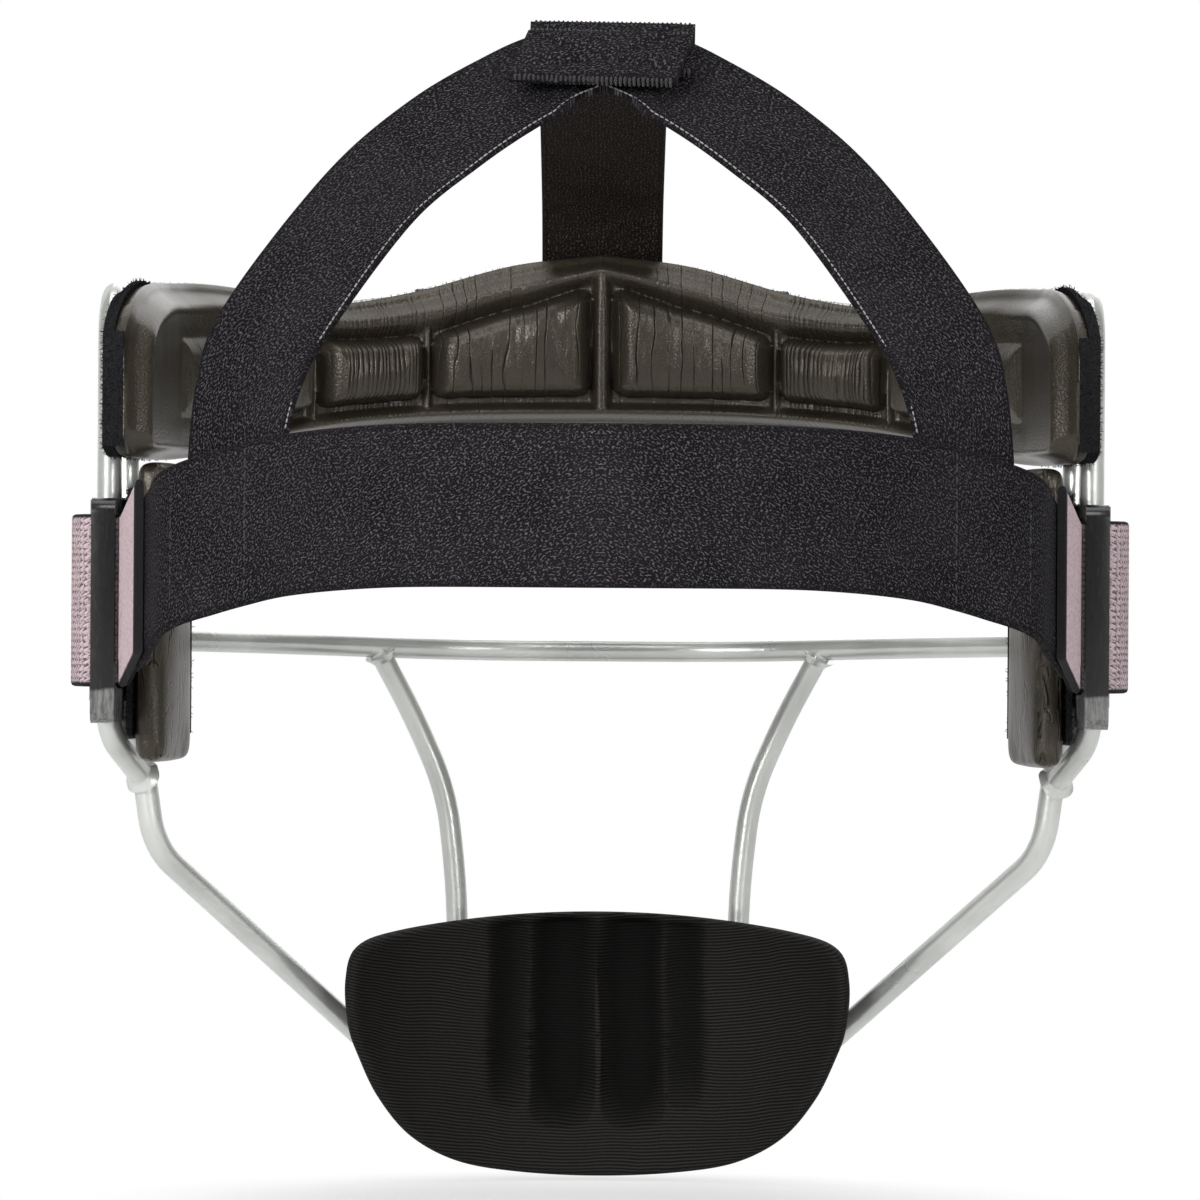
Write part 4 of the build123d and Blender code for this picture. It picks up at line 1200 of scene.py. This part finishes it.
def make_crown_patches():
    """The sewn patch and, on top of it, the loose flap where the straps meet."""
    finish = materials()
    lift = STRAP_THICK / 2 + 0.6 + PATCH_THICK / 2
    for node, height, slide, shift, turn in (("crown_patch", lift, 3.0, 1.6, -1.0),
                                             ("crown_flap", lift + 2.3, -3.3, -0.4, -2.2)):
        flap = node == "crown_flap"
        place = crown_place(height, slide) @ Matrix.Translation((shift, 0.0, 0.0))
        place = place @ Matrix.Rotation(math.radians(turn), 4, "Z")
        line = np.column_stack([np.linspace(-PATCH_HALF, PATCH_HALF, 60), np.zeros(60), np.zeros(60)])
        line[:, 1] += 0.3 * np.sin(line[:, 0] / 6.0) * flap
        middles = np.array([place @ Vector(point) for point in line])
        aside = np.array(place.to_3x3() @ Vector((0.0, 1.0, 0.0)))
        mesh, _ = ribbon(node + "_cloth", middles, np.broadcast_to(aside, middles.shape),
                         PATCH_WIDTH, PATCH_THICK, patch_crease)
        rows = []
        for edge, rise in ((-7.9, 0.5), (-7.6, -0.4), (7.6, 0.6)):
            row = [place @ Vector((x + FLAP_SLANT * edge * flap, edge, rise)) for x in line[2:-2, 0]]
            rows.append((np.array(row), place.to_3x3() @ Vector((0.0, edge / (PATCH_WIDTH / 2), 0.6))))
        body = node if flap else "frame"
        sewn(node + "_overlock", rows, (0.28, 0.6, 0.42), 0.85, finish["thread"], body)
        if flap:
            for vertex in mesh.vertices:
                where = place.inverted() @ (vertex.co / MM)
                vertex.co.x += FLAP_SLANT * where.y * MM
        piece(mesh.name, mesh, finish["patch"], body, [node])


def make_side_straps():
    """The knitted side straps: each wraps its buckle's bar and ends in a free tab behind it."""
    finish = materials()
    (bar_x, bar_y), wrap, (back_x, front_x), tail = LOOP_BAR, LOOP_RADIUS, LOOP_LAYERS, LOOP_FOLD
    points = [(front_x, tail - 0.3), (front_x, bar_y), (bar_x + wrap, bar_y + 2 * wrap + 0.3),
              (bar_x - 1.4 * wrap, bar_y + 2 * wrap), (bar_x - 2.2 * wrap, bar_y - 0.3),
              (bar_x - wrap, tail + 5.6), (back_x, tail + 8.0), (back_x, tail - 0.3)]
    tip = [foot + ahead * TAB_LENGTH for foot, ahead in zip(TAB_FOOT, TAB_AHEAD)]
    route = np.vstack([bent(points, step=0.3)[:-1], [[*TAB_FOOT, 0.0], [*tip, 0.0]]])
    line, _ = spaced(route, 0.7)
    for side, sign in SIDES.items():
        middles = line * (-sign, 1.0, 1.0)
        middles[:, 2] = SIDE_LOW + SIDE_WIDTH / 2
        upright = np.broadcast_to((0.0, 0.0, 1.0), middles.shape)
        mesh, _ = ribbon("side_strap_" + side, middles, upright, SIDE_WIDTH, STRAP_THICK, from_end=True)
        for vertex in mesh.vertices:
            share = max(0.0, -vertex.co.y / MM - 9.4) / 18.5
            vertex.co.z += share * TAB_RISE * MM
            # The foot of the layer nearest the head is drawn up, clear of the tab's lower edge.
            inner = abs(vertex.co.x) < 0.0935 and -0.0092 < vertex.co.y < 0.012
            if inner and vertex.co.z < 0.0:
                vertex.co.z *= 1 - 0.27 * min(1.0, (0.012 - vertex.co.y) / 0.007)
        obj = piece("side_strap_" + side, mesh, finish["knit"], "buckle_" + side,
                    ["strap_loop_" + side, "strap_tab_" + side], ride=False)
        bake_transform(obj)


def make_buckles():
    """The moulded buckles, with their edges eased."""
    for side in SIDES:
        node = "buckle_" + side
        mesh = copied(node)
        work = bmesh.new()
        work.from_mesh(mesh)
        bmesh.ops.dissolve_limit(work, angle_limit=math.radians(2.0), verts=work.verts, edges=work.edges)
        work.to_mesh(mesh)
        work.free()
        obj = linked(node + "_moulding", mesh)
        ease = obj.modifiers.new("Ease", "BEVEL")
        ease.width, ease.segments = 0.0008, 4
        ease.limit_method, ease.angle_limit = "ANGLE", math.radians(38.0)
        ease.harden_normals = False
        result = evaluated(obj)
        bpy.data.objects.remove(obj)
        piece(node + "_moulding", tidy(result, 38.0), materials()["plastic"], node,
              [node])


def make_sweep():
    """A pale sweep that keeps the object's shadow and is plain white away from it."""
    low = frame_box[0][2] - FLOOR_GAP
    profile = [(-SWEEP_WIDTH, low), (0.0, low)]
    for turn in np.linspace(0.0, math.pi / 2, 16):
        profile.append((SWEEP_DEPTH + SWEEP_BEND * math.sin(turn), low + SWEEP_BEND * (1 - math.cos(turn))))
    profile.append((SWEEP_DEPTH + SWEEP_BEND, low + SWEEP_HEIGHT))
    verts = [(x, y, z) for y, z in profile for x in (-SWEEP_WIDTH, 0.0, SWEEP_WIDTH)]
    faces = [(3 * row + col, 3 * row + col + 1, 3 * row + col + 4, 3 * row + col + 3)
             for row in range(len(profile) - 1) for col in range(2)]
    mesh = bpy.data.meshes.new("studio_floor")
    mesh.from_pydata(verts, [], faces)
    floor = linked("studio_floor", tidy(mesh, 60.0))
    finish = Finish("studio_floor", (0.9, 0.9, 0.9), 0.9)
    where = finish.add("ShaderNodeTexCoord", output="Object")
    away = finish.add("ShaderNodeVectorMath", {"operation": "LENGTH"}, {0: where}, output="Value")
    rays = finish.tree.nodes.new("ShaderNodeLightPath").outputs
    seen, glossy, through_glass = [Term(finish, rays[f"Is {kind} Ray"])
                                   for kind in ("Camera", "Glossy", "Transmission")]
    white = finish.add("ShaderNodeEmission", values={"Color": WHITE, "Strength": 1.0})
    mixed = finish.add("ShaderNodeMixShader", values={
        0: (seen + glossy + through_glass) * away.between(*SHADOW_REACH),
        1: Term(finish, finish.shader.outputs[0]), 2: white})
    finish.feed(finish.tree.nodes["Material Output"].inputs["Surface"], mixed)
    mesh.materials.append(finish.material)


def make_world():
    """A dim, even light all round, seen as white by the camera."""
    world = bpy.data.worlds.new("studio")
    bpy.context.scene.world = world
    world.use_nodes = True
    tree = world.node_tree
    soft, bright = tree.nodes["Background"], tree.nodes.new("ShaderNodeBackground")
    for background, strength in ((soft, WORLD_LIGHT), (bright, 1.0)):
        background.inputs["Color"].default_value = WHITE
        background.inputs["Strength"].default_value = strength
    rays, mixed = tree.nodes.new("ShaderNodeLightPath"), tree.nodes.new("ShaderNodeMixShader")
    sources = (rays.outputs["Is Camera Ray"], soft.outputs[0], bright.outputs[0])
    for source, socket in zip(sources, mixed.inputs):
        tree.links.new(source, socket)
    tree.links.new(mixed.outputs[0], tree.nodes["World Output"].inputs["Surface"])


def make_stage():
    """The sweep, the light round it, soft lamps and the camera."""
    make_sweep()
    make_world()
    for name, place, size, power in LAMPS:
        data = bpy.data.lights.new(name, "AREA")
        data.size, data.energy = size, power
        lamp = linked(name, data)
        lamp.location = place
        lamp.rotation_euler = (-Vector(place)).to_track_quat("-Z", "Y").to_euler()

    sizes = bpy.context.scene.guard_sizes
    lens = bpy.data.cameras.new("camera")
    lens.sensor_width, lens.lens = 36.0, sizes.lens
    camera = linked("camera", lens)
    camera.location = (0.0, -sizes.distance, 0.0)
    camera.rotation_euler = (math.pi / 2, sizes.roll, 0.0)
    bpy.context.scene.camera = camera
    bpy.context.scene.view_settings.view_transform = "Standard"


# Operators, one for each piece or group of like pieces and one for the stage
class GUARD_OT_stage(bpy.types.Operator):
    """Makes the sweep, the lamps and the camera"""
    bl_idname = "guard.stage"
    bl_label = "Studio"

    def execute(self, context):
        make_stage()
        return {"FINISHED"}


class GUARD_OT_wires(bpy.types.Operator):
    """Paints the wires and adds their weld beads"""
    bl_idname = "guard.wires"
    bl_label = "Wires"

    def execute(self, context):
        make_wires()
        return {"FINISHED"}


class GUARD_OT_hook_tapes(bpy.types.Operator):
    """Covers the tape sleeves with hooks"""
    bl_idname = "guard.hook_tapes"
    bl_label = "Hook tapes"

    def execute(self, context):
        make_hook_tapes()
        return {"FINISHED"}


class GUARD_OT_forehead_pad(bpy.types.Operator):
    """Makes the moulded forehead pad"""
    bl_idname = "guard.forehead_pad"
    bl_label = "Forehead pad"

    def execute(self, context):
        make_forehead_pad()
        return {"FINISHED"}


class GUARD_OT_cheek_pads(bpy.types.Operator):
    """Makes both cheek pads"""
    bl_idname = "guard.cheek_pads"
    bl_label = "Cheek pads"

    def execute(self, context):
        make_cheek_pads()
        return {"FINISHED"}


class GUARD_OT_backings(bpy.types.Operator):
    """Makes the cloth behind the pads and the cup"""
    bl_idname = "guard.backings"
    bl_label = "Loop cloth"

    def execute(self, context):
        make_backings()
        return {"FINISHED"}


class GUARD_OT_chin_cup(bpy.types.Operator):
    """Makes the padded chin cup"""
    bl_idname = "guard.chin_cup"
    bl_label = "Chin cup"

    def execute(self, context):
        make_chin_cup()
        return {"FINISHED"}


class GUARD_OT_rear_band(bpy.types.Operator):
    """Makes the elastic rear band"""
    bl_idname = "guard.rear_band"
    bl_label = "Rear band"

    def execute(self, context):
        make_rear_band()
        return {"FINISHED"}


class GUARD_OT_crown_straps(bpy.types.Operator):
    """Makes both crown straps"""
    bl_idname = "guard.crown_straps"
    bl_label = "Crown straps"

    def execute(self, context):
        make_crown_straps()
        return {"FINISHED"}


class GUARD_OT_front_strap(bpy.types.Operator):
    """Makes the strap over the forehead"""
    bl_idname = "guard.front_strap"
    bl_label = "Front strap"

    def execute(self, context):
        make_front_strap()
        return {"FINISHED"}


class GUARD_OT_crown_patches(bpy.types.Operator):
    """Makes the patch and the flap at the crown"""
    bl_idname = "guard.crown_patches"
    bl_label = "Crown patches"

    def execute(self, context):
        make_crown_patches()
        return {"FINISHED"}


class GUARD_OT_side_straps(bpy.types.Operator):
    """Makes the knitted strap of each buckle"""
    bl_idname = "guard.side_straps"
    bl_label = "Side straps"

    def execute(self, context):
        make_side_straps()
        return {"FINISHED"}


class GUARD_OT_buckles(bpy.types.Operator):
    """Makes both moulded buckles"""
    bl_idname = "guard.buckles"
    bl_label = "Buckles"

    def execute(self, context):
        make_buckles()
        return {"FINISHED"}


OPERATORS = [GUARD_OT_stage, GUARD_OT_wires, GUARD_OT_hook_tapes, GUARD_OT_forehead_pad,
             GUARD_OT_cheek_pads, GUARD_OT_backings, GUARD_OT_chin_cup, GUARD_OT_rear_band,
             GUARD_OT_crown_straps, GUARD_OT_front_strap, GUARD_OT_crown_patches, GUARD_OT_side_straps,
             GUARD_OT_buckles]


class GUARD_PT_pieces(bpy.types.Panel):
    """Lists the sizes, the colours and the pieces of the face guard."""
    bl_idname = "GUARD_PT_pieces"
    bl_label = "Face guard"
    bl_space_type = "VIEW_3D"
    bl_region_type = "UI"
    bl_category = "Face guard"

    def draw(self, context):
        for group in (context.scene.guard_sizes, context.scene.guard_colours):
            for name in group.__annotations__:
                self.layout.prop(group, name)
        for kind in OPERATORS:
            self.layout.operator(kind.bl_idname)


CLASSES = [GuardSizes, GuardColours, *OPERATORS, GUARD_PT_pieces]


def register():
    for kind in CLASSES:
        bpy.utils.register_class(kind)
    bpy.types.Scene.guard_sizes = bpy.props.PointerProperty(type=GuardSizes)
    bpy.types.Scene.guard_colours = bpy.props.PointerProperty(type=GuardColours)


def unregister():
    del bpy.types.Scene.guard_sizes, bpy.types.Scene.guard_colours
    for kind in reversed(CLASSES):
        bpy.utils.unregister_class(kind)


def main():
    """Makes every piece in order."""
    register()
    bpy.ops.guard.stage()
    bpy.ops.guard.wires()
    bpy.ops.guard.hook_tapes()
    bpy.ops.guard.forehead_pad()
    bpy.ops.guard.cheek_pads()
    bpy.ops.guard.backings()
    bpy.ops.guard.chin_cup()
    bpy.ops.guard.rear_band()
    bpy.ops.guard.crown_straps()
    bpy.ops.guard.front_strap()
    bpy.ops.guard.crown_patches()
    bpy.ops.guard.side_straps()
    bpy.ops.guard.buckles()


if __name__ == "__main__":
    main()
